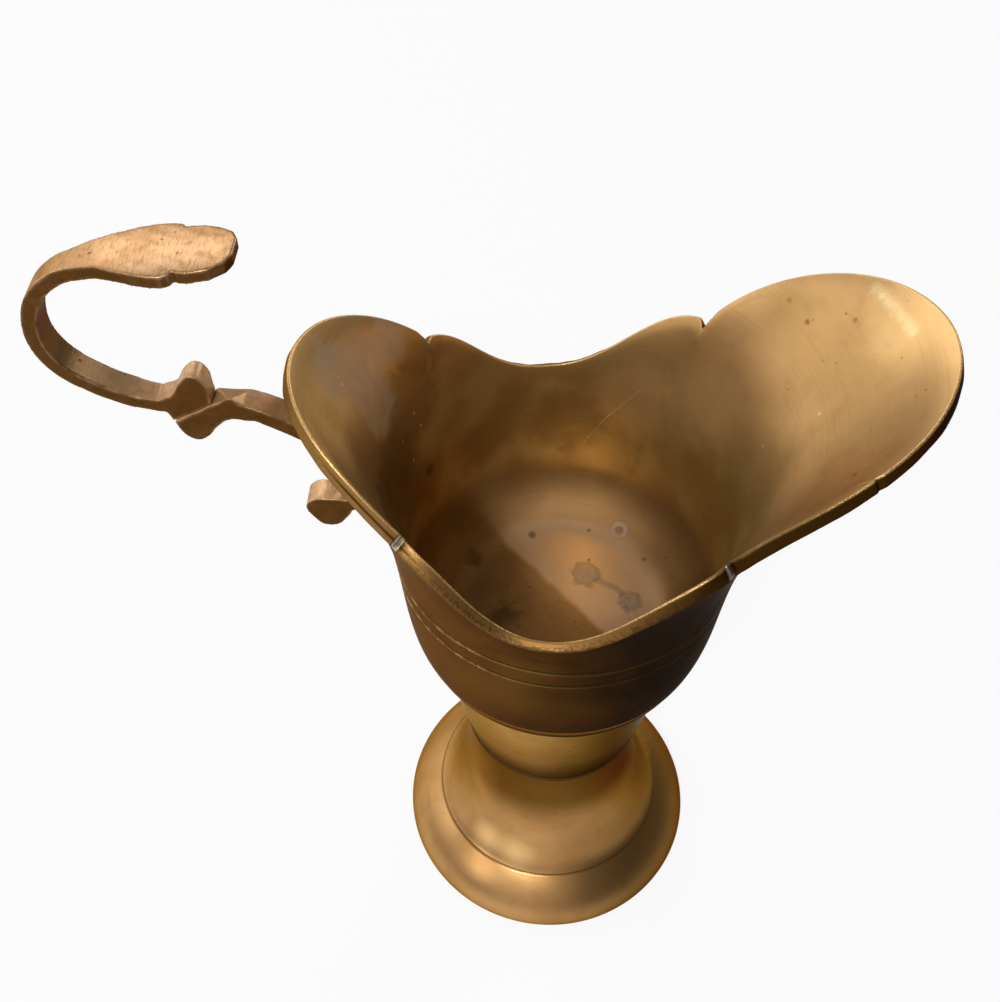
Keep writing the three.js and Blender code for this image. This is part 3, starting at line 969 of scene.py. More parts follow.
def arc(centre: Pair, radii: Pair, start: float, end: float, steps: int) -> Profile:
    """Points along a quarter or other part of an ellipse.

    Args:
        centre: Its middle.
        radii: Its two half widths.
        start: First angle in degrees.
        end: Last angle in degrees.
        steps: Stretches along it.

    Returns:
        The points, both ends included.
    """
    turns = np.radians(np.linspace(start, end, steps + 1))
    return [(centre[0] + radii[0] * math.cos(turn), centre[1] + radii[1] * math.sin(turn)) for turn in turns]


@dataclass
class TurnedPiece:
    """A casting turned about the pitcher's axis, made by sweeping its section round a circle."""

    axis_x: float
    material: bpy.types.Material
    node: str
    name: str
    slot: str
    segments: int = 240
    guide_radius: float = 30
    bore: float = 4.3
    sharp_degrees: float = 32

    def section(self) -> Profile:
        """The closed section as radius and height, anticlockwise."""
        raise NotImplementedError

    def tree(self) -> GeometryTree:
        """The sweep: the section as a profile on a circle.

        Returns:
            The tree.
        """
        sweep = GeometryTree(f"{self.name}_sweep", {
            "Segments": self.segments, "Guide Radius": self.guide_radius * MM, "Axis X": self.axis_x * MM,
        })
        circle = sweep.node(
            "GeometryNodeCurvePrimitiveCircle",
            {"Resolution": sweep.given("Segments"), "Radius": sweep.given("Guide Radius")},
        )
        profile = sweep.node("GeometryNodeMeshToCurve", {0: sweep.given("Geometry")})
        skin = sweep.node("GeometryNodeCurveToMesh", {0: circle, 1: profile})
        shift = sweep.combine(sweep.given("Axis X"), 0, 0)
        sweep.end(sweep.node("GeometryNodeTransform", {"Geometry": skin, "Translation": shift}))
        return sweep

    def build(self) -> None:
        """Make the piece, ride it on the body and hide its imported node."""
        outline = [(radius - self.guide_radius, -height, 0.0) for radius, height in reversed(self.section())]
        thing = self.tree().make(self.name, line_mesh(self.name, outline), self.material)
        smooth_mesh(thing.data, self.sharp_degrees)
        attach(thing, self.slot, self.node)


@dataclass
class Foot(TurnedPiece):
    """The hollow bell foot with its rolled edge and incised ring."""

    node: str = "foot"
    name: str = "bell_foot"
    slot: str = "foot_brass"
    height: float = 59.5
    radius: float = 44
    edge_height: float = 2.4
    rest: Pair = (40.2, 42.6)
    ring: Pair = (33.9, 15.5)
    slope: float = 36
    neck: float = 23.4
    neck_ease: float = 0.25
    wall: float = 2.4
    web: float = 3.4
    web_corner: float = 3.8
    groove_depth: float = 0.12
    groove_half: float = 0.6
    groove_shape: tuple[Pair, ...] = (
        (1, 0), (0.6, 0.15), (0.25, 0.75), (0, 1), (-0.25, 0.75), (-0.6, 0.15), (-1, 0),
    )

    def ogee(self, inset: float) -> tuple[Profile, Profile]:
        """The flange and the bell as two curves that meet at the incised ring.

        Args:
            inset: How far the curve is drawn in for the inner wall.

        Returns:
            The flange from the edge up, and the bell from the ring up.
        """
        lean = math.radians(self.slope)
        ring = (self.ring[0] - inset * math.sin(lean), self.ring[1] - inset * math.cos(lean))
        edge = (self.radius - inset, self.edge_height)
        neck = (self.neck - inset, self.height - self.web - inset)
        edge_run = (ring[1] - edge[1]) * 0.4
        ring_run = (edge[0] - ring[0]) * 0.5
        bell_run = (neck[1] - ring[1]) * 0.55
        step = (ring_run * math.cos(lean), ring_run * math.sin(lean))
        below, above = (ring[0] + step[0], ring[1] - step[1]), (ring[0] - step[0], ring[1] + step[1])
        flange = bezier([edge, (edge[0], edge[1] + edge_run), below, ring], 24)
        return flange, bezier([ring, above, (neck[0], neck[1] - bell_run), neck], 40)

    def groove(self) -> Profile:
        """The incised ring as a soft V across the ogee.

        Returns:
            Its points from the flange to the bell.
        """
        cos, sin = math.cos(math.radians(self.slope)), math.sin(math.radians(self.slope))
        cut = []
        for along, sink in self.groove_shape:
            run, depth = along * self.groove_half, sink * self.groove_depth
            cut.append((self.ring[0] + run * cos - depth * sin, self.ring[1] - run * sin - depth * cos))
        return cut

    def section(self) -> Profile:
        """The foot's closed section.

        Returns:
            Its points in order.
        """
        flange, bell = self.ogee(0)
        inner_flange, inner_bell = self.ogee(self.wall)
        roll_radii = (self.radius - self.rest[1], self.edge_height)
        roll = arc((self.rest[1], self.edge_height), roll_radii, -90, -8, 7)
        web_bottom = self.height - self.web
        return [
            (self.rest[0], 0), *roll, *flange[:-1], *self.groove(), *bell[1:],
            (self.neck, self.height - self.neck_ease), (self.neck - self.neck_ease, self.height),
            (self.bore, self.height), (self.bore, web_bottom), (self.neck - self.web_corner, web_bottom),
            *reversed(inner_bell), *inner_flange[::-1][1:],
        ]


@dataclass
class LowerCup(TurnedPiece):
    """The rounded cup between the bowl and the foot."""

    node: str = "lower_cup"
    name: str = "stem_cup"
    slot: str = "cup_brass"
    bottom: float = 59.8
    height: float = 44.9
    foot_radius: float = 24.4
    top_radius: float = 30.5
    bead: float = 0.8
    bead_inset: float = 0.25
    wall: float = 2.4
    floor: float = 3

    def radius_at(self, height: float) -> float:
        """Outer radius at a height of the stack."""
        share = (height - self.bottom) / self.height
        return self.foot_radius + (self.top_radius - self.foot_radius) * math.sin(share * math.pi / 2)

    def section(self) -> Profile:
        """The cup's closed section.

        Returns:
            Its points in order.
        """
        top = self.bottom + self.height
        inner_floor = self.bottom + self.floor
        bead_middle = (self.foot_radius - self.bead_inset, self.bottom + self.bead)
        outer = np.linspace(self.bottom + 2 * self.bead, top, 40)
        inner = np.linspace(top, inner_floor + self.wall, 24)
        return [
            (self.bore, self.bottom),
            *arc(bead_middle, (self.bead, self.bead), -90, 50, 8),
            *[(self.radius_at(height), height) for height in outer],
            *[(self.radius_at(height) - self.wall, height) for height in inner],
            (self.radius_at(self.bottom) - 2 * self.wall, inner_floor),
            (self.bore, inner_floor),
        ]


@dataclass
class Washer(TurnedPiece):
    """The flat washer under the foot's web."""

    node: str = "foot_washer"
    name: str = "flat_washer"
    slot: str = "fastener_steel"
    segments: int = 96
    guide_radius: float = 6
    radius: float = 9
    bottom: float = 54.3
    thickness: float = 1.5
    ease: float = 0.25

    def section(self) -> Profile:
        """The washer's closed section, with its punched edges eased.

        Returns:
            Its points in order.
        """
        top, ease = self.bottom + self.thickness, self.ease
        return [
            (self.bore, self.bottom), (self.radius - ease, self.bottom), (self.radius, self.bottom + ease),
            (self.radius, top - ease), (self.radius - ease, top), (self.bore + ease, top),
            (self.bore, top - ease),
        ]


@dataclass
class Fastening:
    """The threaded stud and hexagon nut that draw the turned pieces together."""

    axis_x: float
    brass: bpy.types.Material
    steel: bpy.types.Material
    radius: float = 4
    bottom: float = 44.5
    top: float = 103.5
    pitch: float = 1.25
    depth: float = 0.55
    bore: float = 4.3
    nut_flats: float = 13
    nut_bottom: float = 47.5
    nut_top: float = 54.0
    nut_lip: float = 0.3

    def stud_tree(self) -> GeometryTree:
        """A cylinder whose skin follows a screw thread.

        Returns:
            The tree.
        """
        screw = GeometryTree("stud_thread", {
            "Radius": self.radius * MM, "Length": (self.top - self.bottom) * MM, "Pitch": self.pitch * MM,
            "Depth": self.depth * MM, "Sides": 40, "Rings": 380,
        })
        length, depth, radius = (screw.given(label) for label in ("Length", "Depth", "Radius"))
        bar = screw.node("GeometryNodeMeshCylinder", {
            "Vertices": screw.given("Sides"), "Side Segments": screw.given("Rings"), "Radius": radius,
            "Depth": length,
        }, fill_type="TRIANGLE_FAN")
        x, y, z = screw.node("GeometryNodeInputPosition").split()
        turns = screw.math("ARCTAN2", y, x) * (1 / (2 * math.pi))
        phase = screw.math("FRACT", z / screw.given("Pitch") - turns)
        valley = 1 - (phase * 2 - 1).size()
        end = (1 - (length * 0.5 - z.size()) / depth * 0.7).either(0)
        cut = valley.either(end) * depth / radius
        shaped = screw.node(
            "GeometryNodeSetPosition", {"Geometry": bar, "Offset": screw.combine(x, y, 0).scaled(cut * -1)})
        middle = screw.combine(self.axis_x * MM, 0, (self.bottom + self.top) / 2 * MM)
        screw.end(screw.node("GeometryNodeTransform", {"Geometry": shaped, "Translation": middle}))
        return screw

    def stud(self) -> None:
        """Make the stud."""
        thing = self.stud_tree().make("threaded_stud", bpy.data.meshes.new("stud_seed"), self.brass)
        smooth_mesh(thing.data, 40)
        attach(thing, "stud_brass", "center_stud")

    def nut(self) -> None:
        """Make the nut, with both faces chamfered to a circle."""
        turn = np.radians(np.arange(0, 360, 2.5))
        folded = (turn + math.pi / 6) % (math.pi / 3) - math.pi / 6
        hexagon = self.nut_flats / 2 / np.cos(folded)
        rows = []
        for share in (0, 0.04, 0.08, 0.12, 0.88, 0.92, 0.96, 1):
            height = self.nut_bottom + (self.nut_top - self.nut_bottom) * share
            from_face = min(height - self.nut_bottom, self.nut_top - height)
            rows.append((np.minimum(hexagon, self.nut_flats / 2 * 0.97 + from_face * math.sqrt(3)), height))
        rows += [(self.bore + self.nut_lip, self.nut_top), (self.bore, self.nut_top - self.nut_lip)]
        rows += [(self.bore, self.nut_bottom + self.nut_lip), (self.bore + self.nut_lip, self.nut_bottom)]
        rings = np.stack([
            np.stack([self.axis_x + radius * np.cos(turn), radius * np.sin(turn), 0 * turn + height], axis=1)
            for radius, height in rows
        ])
        mesh = grid_mesh("hexagon_nut", rings, None, {})
        smooth_mesh(mesh, 25)
        attach(add_object("hexagon_nut", mesh, self.steel), "fastener_steel", "foot_nut")

    def build(self) -> None:
        """Make the stud, the washer and the nut."""
        self.stud()
        Washer(self.axis_x, self.steel).build()
        self.nut()


@dataclass(frozen=True)
class Lobe:
    """One raised lobe of the rim."""

    half_angle: float
    base: float
    rise: float
    rise_power: float
    reach: float
    reach_power: float
    shoulder: float
    tip_turn_out: float
    notch_turn_out: float


@dataclass
class Ring:
    """One ring of the bowl's skin with what its finish needs to know."""

    radius: np.ndarray
    height: np.ndarray
    inside: float = 0
    edge: float = 0
    across: float = 0
    lip: float = 0
    groove: float = 0
    base: float = 0


@dataclass
class Bowl:
    """The helmet-shaped bowl: a turned wall that rises into two lobes with filed notches between."""

    axis_x: float
    material: bpy.types.Material
    bottom: float = 105.0
    base_radius: float = 36.2
    chamfer: float = 2.3
    swell: float = 3.9
    swell_height: float = 8.5
    flare: float = 7.2
    flare_height: float = 66.7
    flare_power: float = 2.8
    wall: float = 2
    floor: float = 4
    corner: float = 15
    spigot: Pair = (27.8, 2)
    boss: Pair = (9, 9)
    bore: Pair = (4.3, 7.8)
    lines: Pair = (32.8, 39.1)
    line_depth: float = 0.45
    line_half: float = 0.6
    line_lip: float = 0.45
    band_proud: float = 0.1
    base_line: Point = (6.4, 0.2, 0.6)
    lobe_start: float = 45
    lobe_end: float = 1.4
    low_angle: float = 97
    low_height: float = 51.3
    low_turn_out: float = 0.4
    turn_out_depth: float = 3
    notch_depth: float = 1
    notch_half: float = 2.2
    ridge_pitch: float = 1.05
    ridge_depth: float = 0.16
    ridge_reach: float = 1.6
    spout: Lobe = Lobe(48.8, 70.9, 28.6, 0.84, 14.5, 1.6, 0.4, 1.1, 1.8)
    back: Lobe = Lobe(40.7, 69.6, 19.4, 1.02, 4.6, 1.5, -0.8, 1.5, 0.8)
    skews: Pair = (1.15, 1.3)
    nick_angle: float = 332.4
    nick_depth: float = 0.45
    nick_half: float = 0.7
    edge_fall: float = 0.4
    rim_swell: float = 1.1
    rim_swell_depth: float = 4.5
    angles: np.ndarray = field(init=False)

    def __post_init__(self) -> None:
        """Lay out the columns, closer together round the notches and the nick."""
        self.angles = self.columns()

    @property
    def notches(self) -> Pair:
        """Angles of the two notches on one side."""
        return self.spout.half_angle, 180 - self.back.half_angle

    @property
    def folded(self) -> np.ndarray:
        """Each column's angle from the spout, on either side."""
        return np.minimum(self.angles, 360 - self.angles)

    def columns(self) -> np.ndarray:
        """Column angles in degrees from the spout, all the way round.

        Returns:
            The angles in order.
        """
        marks = np.arange(0, 360, 1.25)
        places = [side for notch in self.notches for side in (notch, 360 - notch)]
        for place, reach, count in [*((place, 3.5, 27) for place in places), (self.nick_angle, 1.8, 15)]:
            fine = np.linspace(place - reach, place + reach, count)
            marks = np.concatenate([marks[np.abs(marks - place) > reach + 0.3], fine])
        return np.sort(marks)

    def rim(self, angles: np.ndarray) -> tuple[np.ndarray, np.ndarray, np.ndarray]:
        """Height, outward lean and turned-out lip of the rim.

        Args:
            angles: Degrees from the spout.

        Returns:
            The three as arrays, in millimetres.
        """
        turn = np.minimum(angles, 360 - angles)
        height, reach, lip = (np.zeros_like(turn) for _ in range(3))
        spout_notch, back_notch = self.notches
        for lobe, from_tip, chosen in (
            (self.spout, turn, turn <= spout_notch), (self.back, 180 - turn, turn >= back_notch),
        ):
            fall = np.clip(1 - (from_tip / lobe.half_angle)**2, 0, 1)
            height = np.where(chosen, lobe.base + lobe.rise * fall**lobe.rise_power, height)
            reach = np.where(chosen, lobe.reach * fall**lobe.reach_power, reach)
            more = (lobe.tip_turn_out - lobe.notch_turn_out) * fall
            lip = np.where(chosen, lobe.notch_turn_out + more, lip)
        for lobe, skew, notch, chosen in (
            (self.spout, self.skews[0], spout_notch, (turn > spout_notch) & (turn < self.low_angle)),
            (self.back, self.skews[1], back_notch, (turn >= self.low_angle) & (turn < back_notch)),
        ):
            share = np.clip((turn - self.low_angle) / (notch - self.low_angle), 0, 1)
            climb = np.sin(share**skew * math.pi / 2) ** 2
            top = lobe.base + lobe.shoulder
            height = np.where(chosen, self.low_height + (top - self.low_height) * climb, height)
            lip = np.where(chosen, self.low_turn_out + (lobe.notch_turn_out - self.low_turn_out) * climb, lip)
        return height, reach, lip

    def ridge_wave(self) -> np.ndarray:
        """The file's ridges at each column, counted from the spout's notches, between -1 and 1."""
        return np.cos((self.folded - self.notches[0]) * 2 * math.pi / self.ridge_pitch)

    def filed_top(self) -> np.ndarray:
        """Rim height at each column, with four notches, ridges across the spout's two, and one nick.

        Returns:
            One height for each column.
        """
        to_notch = np.min([np.abs(self.folded - notch) for notch in self.notches], axis=0)
        cut = self.notch_depth * np.clip(1 - to_notch / self.notch_half, 0, 1)
        ridged = np.abs(self.folded - self.notches[0]) < self.ridge_reach
        cut = cut + np.where(ridged, self.ridge_depth * (1 - self.ridge_wave()), 0)
        nick = np.clip(1 - np.abs(self.angles - self.nick_angle) / self.nick_half, 0, 1)
        return self.rim(self.angles)[0] - (cut + self.nick_depth * nick)

    def turned(self, height: np.ndarray | float) -> np.ndarray:
        """Radius of the turned wall at a height above the underside.

        Args:
            height: Heights above the bowl's underside.

        Returns:
            The radii.
        """
        rise = np.maximum(np.asarray(height, dtype=float) - self.chamfer, 0)
        swell = self.swell * (1 - np.exp(-rise / self.swell_height))
        return self.base_radius + swell + self.flare * (rise / self.flare_height) ** self.flare_power

    def outer(self, height: np.ndarray, angles: np.ndarray | None = None) -> np.ndarray:
        """Outer radius at a height for each column, or for other angles.

        Args:
            height: Heights above the bowl's underside.
            angles: Degrees from the spout, or None for the columns.

        Returns:
            The radii.
        """
        top, reach, lip = self.rim(self.angles if angles is None else angles)
        lean = np.maximum(height - self.lobe_start, 0) / (top - self.lobe_start)
        return self.turned(height) + reach * lean**2 + lip * np.exp(-(top - height) / self.turn_out_depth)

    def wall_frame(self, height: np.ndarray) -> tuple[np.ndarray, np.ndarray]:
        """Directions up the wall and inwards through it, as radius and height for each column.

        Args:
            height: Heights above the bowl's underside.

        Returns:
            The two directions.
        """
        step = 0.05
        slope = (self.outer(height + step) - self.outer(height - step)) / (2 * step)
        length = np.hypot(slope, 1)
        return np.stack([slope / length, 1 / length], axis=1), np.stack([-1 / length, slope / length], axis=1)

    def wobble(self, height: np.ndarray) -> np.ndarray:
        """Slight unevenness of the cast wall, the same on both faces.

        Args:
            height: Heights above the bowl's underside.

        Returns:
            How far the wall stands out at each.
        """
        turn = np.radians(self.angles)
        share = np.clip(height / self.lobe_start, 0, 1.5)
        waves = 0.05 * np.sin(3 * turn + height * 0.11) + 0.04 * np.sin(7 * turn - height * 0.19 + 1)
        ripple = 0.02 * np.sin(13 * turn + height * 0.31 + 2) + 0.015 * np.sin(19 * turn - height * 0.23 + 4)
        return (waves + ripple) * share

    def line_cut(self, height: float) -> float:
        """How deep the turned lines are at a height; the band between them stands slightly proud.

        Args:
            height: Height above the bowl's underside.

        Returns:
            The depth, below nothing on the band.
        """
        shares = [min(abs(height - line) / self.line_half, 1) for line in self.lines]
        cut = max(0.0, *(self.line_depth * (1 - share**1.5) for share in shares))
        low, high = self.lines
        if low + self.line_half < height < high - self.line_half:
            cut -= self.band_proud
        place, depth, half = self.base_line
        return max(cut, depth * (1 - min(abs(height - place) / half, 1) ** 2))

    def lip_at(self, height: float) -> float:
        """How near a height is to the lower lip of a turned line, where scuffs and a painted highlight go."""
        near = min(abs(height - (line - self.line_half * 1.1)) for line in self.lines)
        return max(0.0, 1 - near / self.line_lip)

    def level(self, radius: float, height: float, inside: float = 0) -> Ring:
        """A level round ring."""
        ones = np.ones_like(self.angles)
        return Ring(radius * ones, height * ones, inside)

    def underside(self) -> list[Ring]:
        """The rings from the bore in the boss out to the bowl's lower edge.

        Returns:
            The rings in order.
        """
        foot_corner = self.base_radius - self.chamfer * 0.7
        corner = arc((foot_corner, self.chamfer), (self.base_radius - foot_corner, self.chamfer), -90, 0, 8)
        outline = [
            (self.bore[0], self.bore[1] - self.boss[1]), (self.bore[0], -self.boss[1]),
            (self.boss[0], -self.boss[1]), (self.boss[0], -self.spigot[1]), (self.spigot[0], -self.spigot[1]),
            (self.spigot[0], 0), *corner,
        ]
        return [self.level(radius, height) for radius, height in outline]

    def lobe_levels(self, top: np.ndarray, shares: np.ndarray) -> list[np.ndarray]:
        """Heights of the rows that rise into the lobes, at shares of the way up to the edge."""
        return [self.lobe_start + (top - self.lobe_end - self.lobe_start) * share for share in shares]

    def outer_wall(self, top: np.ndarray) -> list[Ring]:
        """The turned rows with their incised lines, then the rows that rise into the lobes.

        Args:
            top: Rim height of each column.

        Returns:
            The rings from below.
        """
        heights = set(np.linspace(self.chamfer, self.lobe_start, 46).round(3))
        cuts = [(self.base_line[0], self.base_line[2]), *((line, self.line_half) for line in self.lines)]
        for centre, half in cuts:
            heights |= set((centre + np.linspace(-1, 1, 9) * half).round(3))
        rings = []
        for height in sorted(heights)[1:]:
            level = height * np.ones_like(self.angles)
            cut = self.line_cut(height)
            groove = min(1.0, max(0.0, cut / self.base_line[1]))
            base = float(height < self.base_line[0] - self.base_line[2] * 0.9)
            radius = self.turned(level) - cut + self.wobble(level)
            rings.append(Ring(radius, level, lip=self.lip_at(height), groove=groove, base=base))
        for level in self.lobe_levels(top, np.linspace(0, 1, 33)[1:]):
            rings.append(Ring(self.outer(level) + self.wobble(level), level))
        return rings

    def edge_rows(self, top: np.ndarray) -> list[Ring]:
        """The filed edge: an uneven outer facet, a sloping face and an inner arris.

        Args:
            top: Rim height of each column.

        Returns:
            The rings across the edge.
        """
        up, inwards = self.wall_frame(top)
        base = self.outer(top) + self.wobble(top)
        turn = np.radians(self.angles)
        uneven = 0.1 * np.sin(turn * 23 + 1) + 0.08 * np.sin(turn * 41) + 0.06 * np.sin(turn * 67 + 2)
        fall = self.edge_fall
        section = (
            (0.0, -1.0, 0.0), (0.02, -0.78, 0.35), (0.1, -0.6, 0.8), (0.28, -0.45, 1.0),
            (0.6, -0.8 * fall, 1.0), (0.95, -0.5 * fall, 1.0), (1.3, -0.22 * fall, 1.0),
            (1.6, -0.05 * fall, 1.0), (1.78, 0.0, 1.0), (1.9, -0.05, 1.0), (1.97, -0.15, 0.9),
            (2.0, -0.32, 0.5), (2.0, -0.6, 0.0),
        )
        broader = 1 + self.swell_here() / self.wall
        rings = []
        for through, rise, edge in section:
            outwardness = 1 - min(through / 0.9, 1)
            lift = rise + uneven * outwardness * (0.9 if edge > 0 else 0)
            radius = base + inwards[:, 0] * through * broader + up[:, 0] * lift
            height = top + inwards[:, 1] * through * broader + up[:, 1] * lift
            rings.append(Ring(radius, height, float(through > 1.85), edge, through / self.wall))
        return rings

    def swell_here(self) -> np.ndarray:
        """How much thicker the rim is at each column: most on the lobes, least at the low sides."""
        return self.rim_swell * np.clip(np.abs(self.folded - self.low_angle) / 32, 0.15, 1)

    def inner_row(self, level: np.ndarray, top: np.ndarray) -> Ring:
        """One ring of the inner wall, square through the wall, which thickens towards the rim.

        Args:
            level: Where it starts on the outer wall.
            top: Rim height of each column.

        Returns:
            The ring.
        """
        inwards = self.wall_frame(level)[1]
        below = np.clip(top - level - 0.6, 0, None)
        through = self.wall + self.swell_here() * np.exp(-below / self.rim_swell_depth)
        radius = self.outer(level) + self.wobble(level) + inwards[:, 0] * through
        return Ring(radius, level + inwards[:, 1] * through, 1)

    def inner_wall(self, top: np.ndarray) -> list[Ring]:
        """The rows from the rim down the inside to the middle of the floor.

        Args:
            top: Rim height of each column.

        Returns:
            The rings from above.
        """
        corner_top = self.floor + self.corner
        levels = self.lobe_levels(top, np.linspace(1, 0, 33)[1:])
        levels += [height * np.ones_like(top) for height in np.linspace(self.lobe_start, corner_top, 19)[1:]]
        rings = [self.inner_row(level, top) for level in levels]
        bend = float(self.turned(corner_top)) - self.wall - self.corner
        for turn in np.radians(np.linspace(0, 90, 15)[1:]):
            radius, height = bend + self.corner * math.cos(turn), corner_top - self.corner * math.sin(turn)
            rings.append(self.level(radius, height, 1))
        return rings + [self.level(radius, self.floor, 1) for radius in np.linspace(bend, 1, 16)[1:]]

    def layers(self, rings: list[Ring], height: np.ndarray) -> dict[str, np.ndarray]:
        """What the finish reads at each vertex.

        Args:
            rings: The skin's rings.
            height: Height of each vertex.

        Returns:
            Each named layer.
        """
        spread = {}
        for name in ("inside", "edge", "across", "lip", "groove", "base"):
            column = np.array([getattr(ring, name) for ring in rings])
            spread[name] = np.broadcast_to(column[:, None], height.shape)
        near = np.min([np.abs(self.folded - notch) for notch in self.notches], axis=0)
        fade_low = np.clip((height - 8) / 14, 0, 1)
        fade_high = np.clip((72 - height) / 26, 0, 1)
        return {
            **spread,
            "ridge": spread["edge"] * (0.5 - 0.5 * self.ridge_wave())[None, :],
            "filed": spread["edge"] * np.clip(1.5 - near / 0.6, 0, 1)[None, :],
            "deep": spread["inside"] * fade_low * fade_high,
        }

    def build(self) -> None:
        """Make the bowl's skin, ride it on the body and hide its imported node."""
        top = self.filed_top()
        rings = [*self.underside(), *self.outer_wall(top), *self.edge_rows(top), *self.inner_wall(top)]
        turn = np.radians(self.angles)
        radius, height = (np.stack([getattr(ring, name) for ring in rings]) for name in ("radius", "height"))
        across = [self.axis_x + radius * np.cos(turn), radius * np.sin(turn)]
        points = np.stack([*across, self.bottom + height], axis=2)
        low = (self.axis_x, 0, self.bottom + self.bore[1] - self.boss[1])
        high = (self.axis_x, 0, self.bottom + self.floor)
        mesh = grid_mesh("helmet_bowl", points, (low, high), self.layers(rings, height))
        smooth_mesh(mesh, 38)
        attach(add_object("helmet_bowl", mesh, self.material), "bowl_brass", "bowl")


@dataclass(frozen=True)
class Facet:
    """A plane filed off a strap: a point of it, the side that goes, and how far round it the file ran."""

    point: Point
    normal: Point
    reach: float = 7

    def file_down(self, points: np.ndarray) -> np.ndarray:
        """Move the points beyond the plane onto it.

        Args:
            points: The skin's points, in millimetres about the axis.

        Returns:
            The points as filed.
        """
        offset = points - np.array(self.point)
        beyond = np.clip(offset @ np.array(self.normal), 0, None)
        beyond[np.linalg.norm(offset, axis=1) > self.reach] = 0
        return points - beyond[:, None] * np.array(self.normal)


@dataclass(frozen=True)
class Bump:
    """A small lump or, with a negative height, a pinhole in a cast skin."""

    place: Point
    radius: float
    height: float


@dataclass
class CastStrap:
    """One strap of the handle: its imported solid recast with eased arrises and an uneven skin."""

    axis_x: float
    material: bpy.types.Material
    node: str
    name: str
    facets: tuple[Facet, ...] = ()
    bumps: tuple[Bump, ...] = ()
    voxel: float = 0.27
    easing: int = 4
    full_arris: float = 0.035
    slot: str = "handle_brass"

    def recast(self) -> bpy.types.Mesh:
        """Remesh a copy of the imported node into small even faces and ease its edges.

        Returns:
            The recast mesh.
        """
        source = bpy.data.objects[self.node].data.copy()
        body = bmesh.new()
        body.from_mesh(source)
        bmesh.ops.remove_doubles(body, verts=body.verts, dist=1e-6)
        body.to_mesh(source)
        body.free()
        rough = link_object(f"{self.name}_rough", source)
        remesh = rough.modifiers.new("recast", "REMESH")
        remesh.mode = "VOXEL"
        remesh.voxel_size = self.voxel * MM
        ease = rough.modifiers.new("ease", "SMOOTH")
        ease.factor = 0.5
        ease.iterations = self.easing
        result = baked_mesh(rough)
        bpy.data.objects.remove(rough)
        return result

    def shape(self, points: np.ndarray) -> np.ndarray:
        """Move the skin's points, in millimetres about the axis."""
        return points

    def curvature(self, mesh: bpy.types.Mesh, points: np.ndarray, normals: np.ndarray) -> np.ndarray:
        """How far each vertex stands above its neighbours, in millimetres.

        Args:
            mesh: The skin.
            points: The skin's points, in millimetres about the axis.
            normals: Their normals.

        Returns:
            One value for each.
        """
        ends = np.empty(len(mesh.edges) * 2, dtype=np.int32)
        mesh.edges.foreach_get("vertices", ends)
        first, second = ends.reshape(-1, 2).T
        total = np.zeros_like(points)
        count = np.zeros(len(points))
        for here, there in ((first, second), (second, first)):
            np.add.at(total, here, points[there])
            np.add.at(count, here, 1)
        return ((points - total / np.maximum(count, 1)[:, None]) * normals).sum(axis=1)

    def inner_face(self, points: np.ndarray, normals: np.ndarray) -> np.ndarray:
        """How far each vertex faces down."""
        return np.clip((0.1 - normals[:, 2]) / 0.5, 0, 1)

    def sideways(self, points: np.ndarray, normals: np.ndarray) -> np.ndarray:
        """How squarely each vertex faces one of the strap's two sides."""
        return np.abs(normals[:, 1])

    def build(self) -> None:
        """Make the strap, ride it on the body and hide its imported node."""
        mesh = self.recast()
        points = read_vectors(mesh.vertices, "co") / MM - (self.axis_x, 0, 0)
        normals = read_vectors(mesh.vertex_normals, "vector")
        arris = np.clip(self.curvature(mesh, points, normals) / self.full_arris, 0, 1)
        for bump in self.bumps:
            span = np.linalg.norm(points - np.array(bump.place), axis=1)
            points = points + normals * (bump.height * np.exp(-((span / bump.radius) ** 2)))[:, None]
        for facet in self.facets:
            points = facet.file_down(points)
        points = self.shape(points) + (self.axis_x, 0, 0)
        mesh.vertices.foreach_set("co", (points * MM).ravel().astype(np.float32))
        mesh.update()
        normals = read_vectors(mesh.vertex_normals, "vector")
        points = points - (self.axis_x, 0, 0)
        set_layer(mesh, "flank", np.clip((self.sideways(points, normals) - 0.55) / 0.3, 0, 1))
        set_layer(mesh, "under", self.inner_face(points, normals))
        set_layer(mesh, "arris", arris)
        mesh.shade_smooth()
        mesh.name = self.name
        attach(add_object(self.name, mesh, self.material), self.slot, self.node)


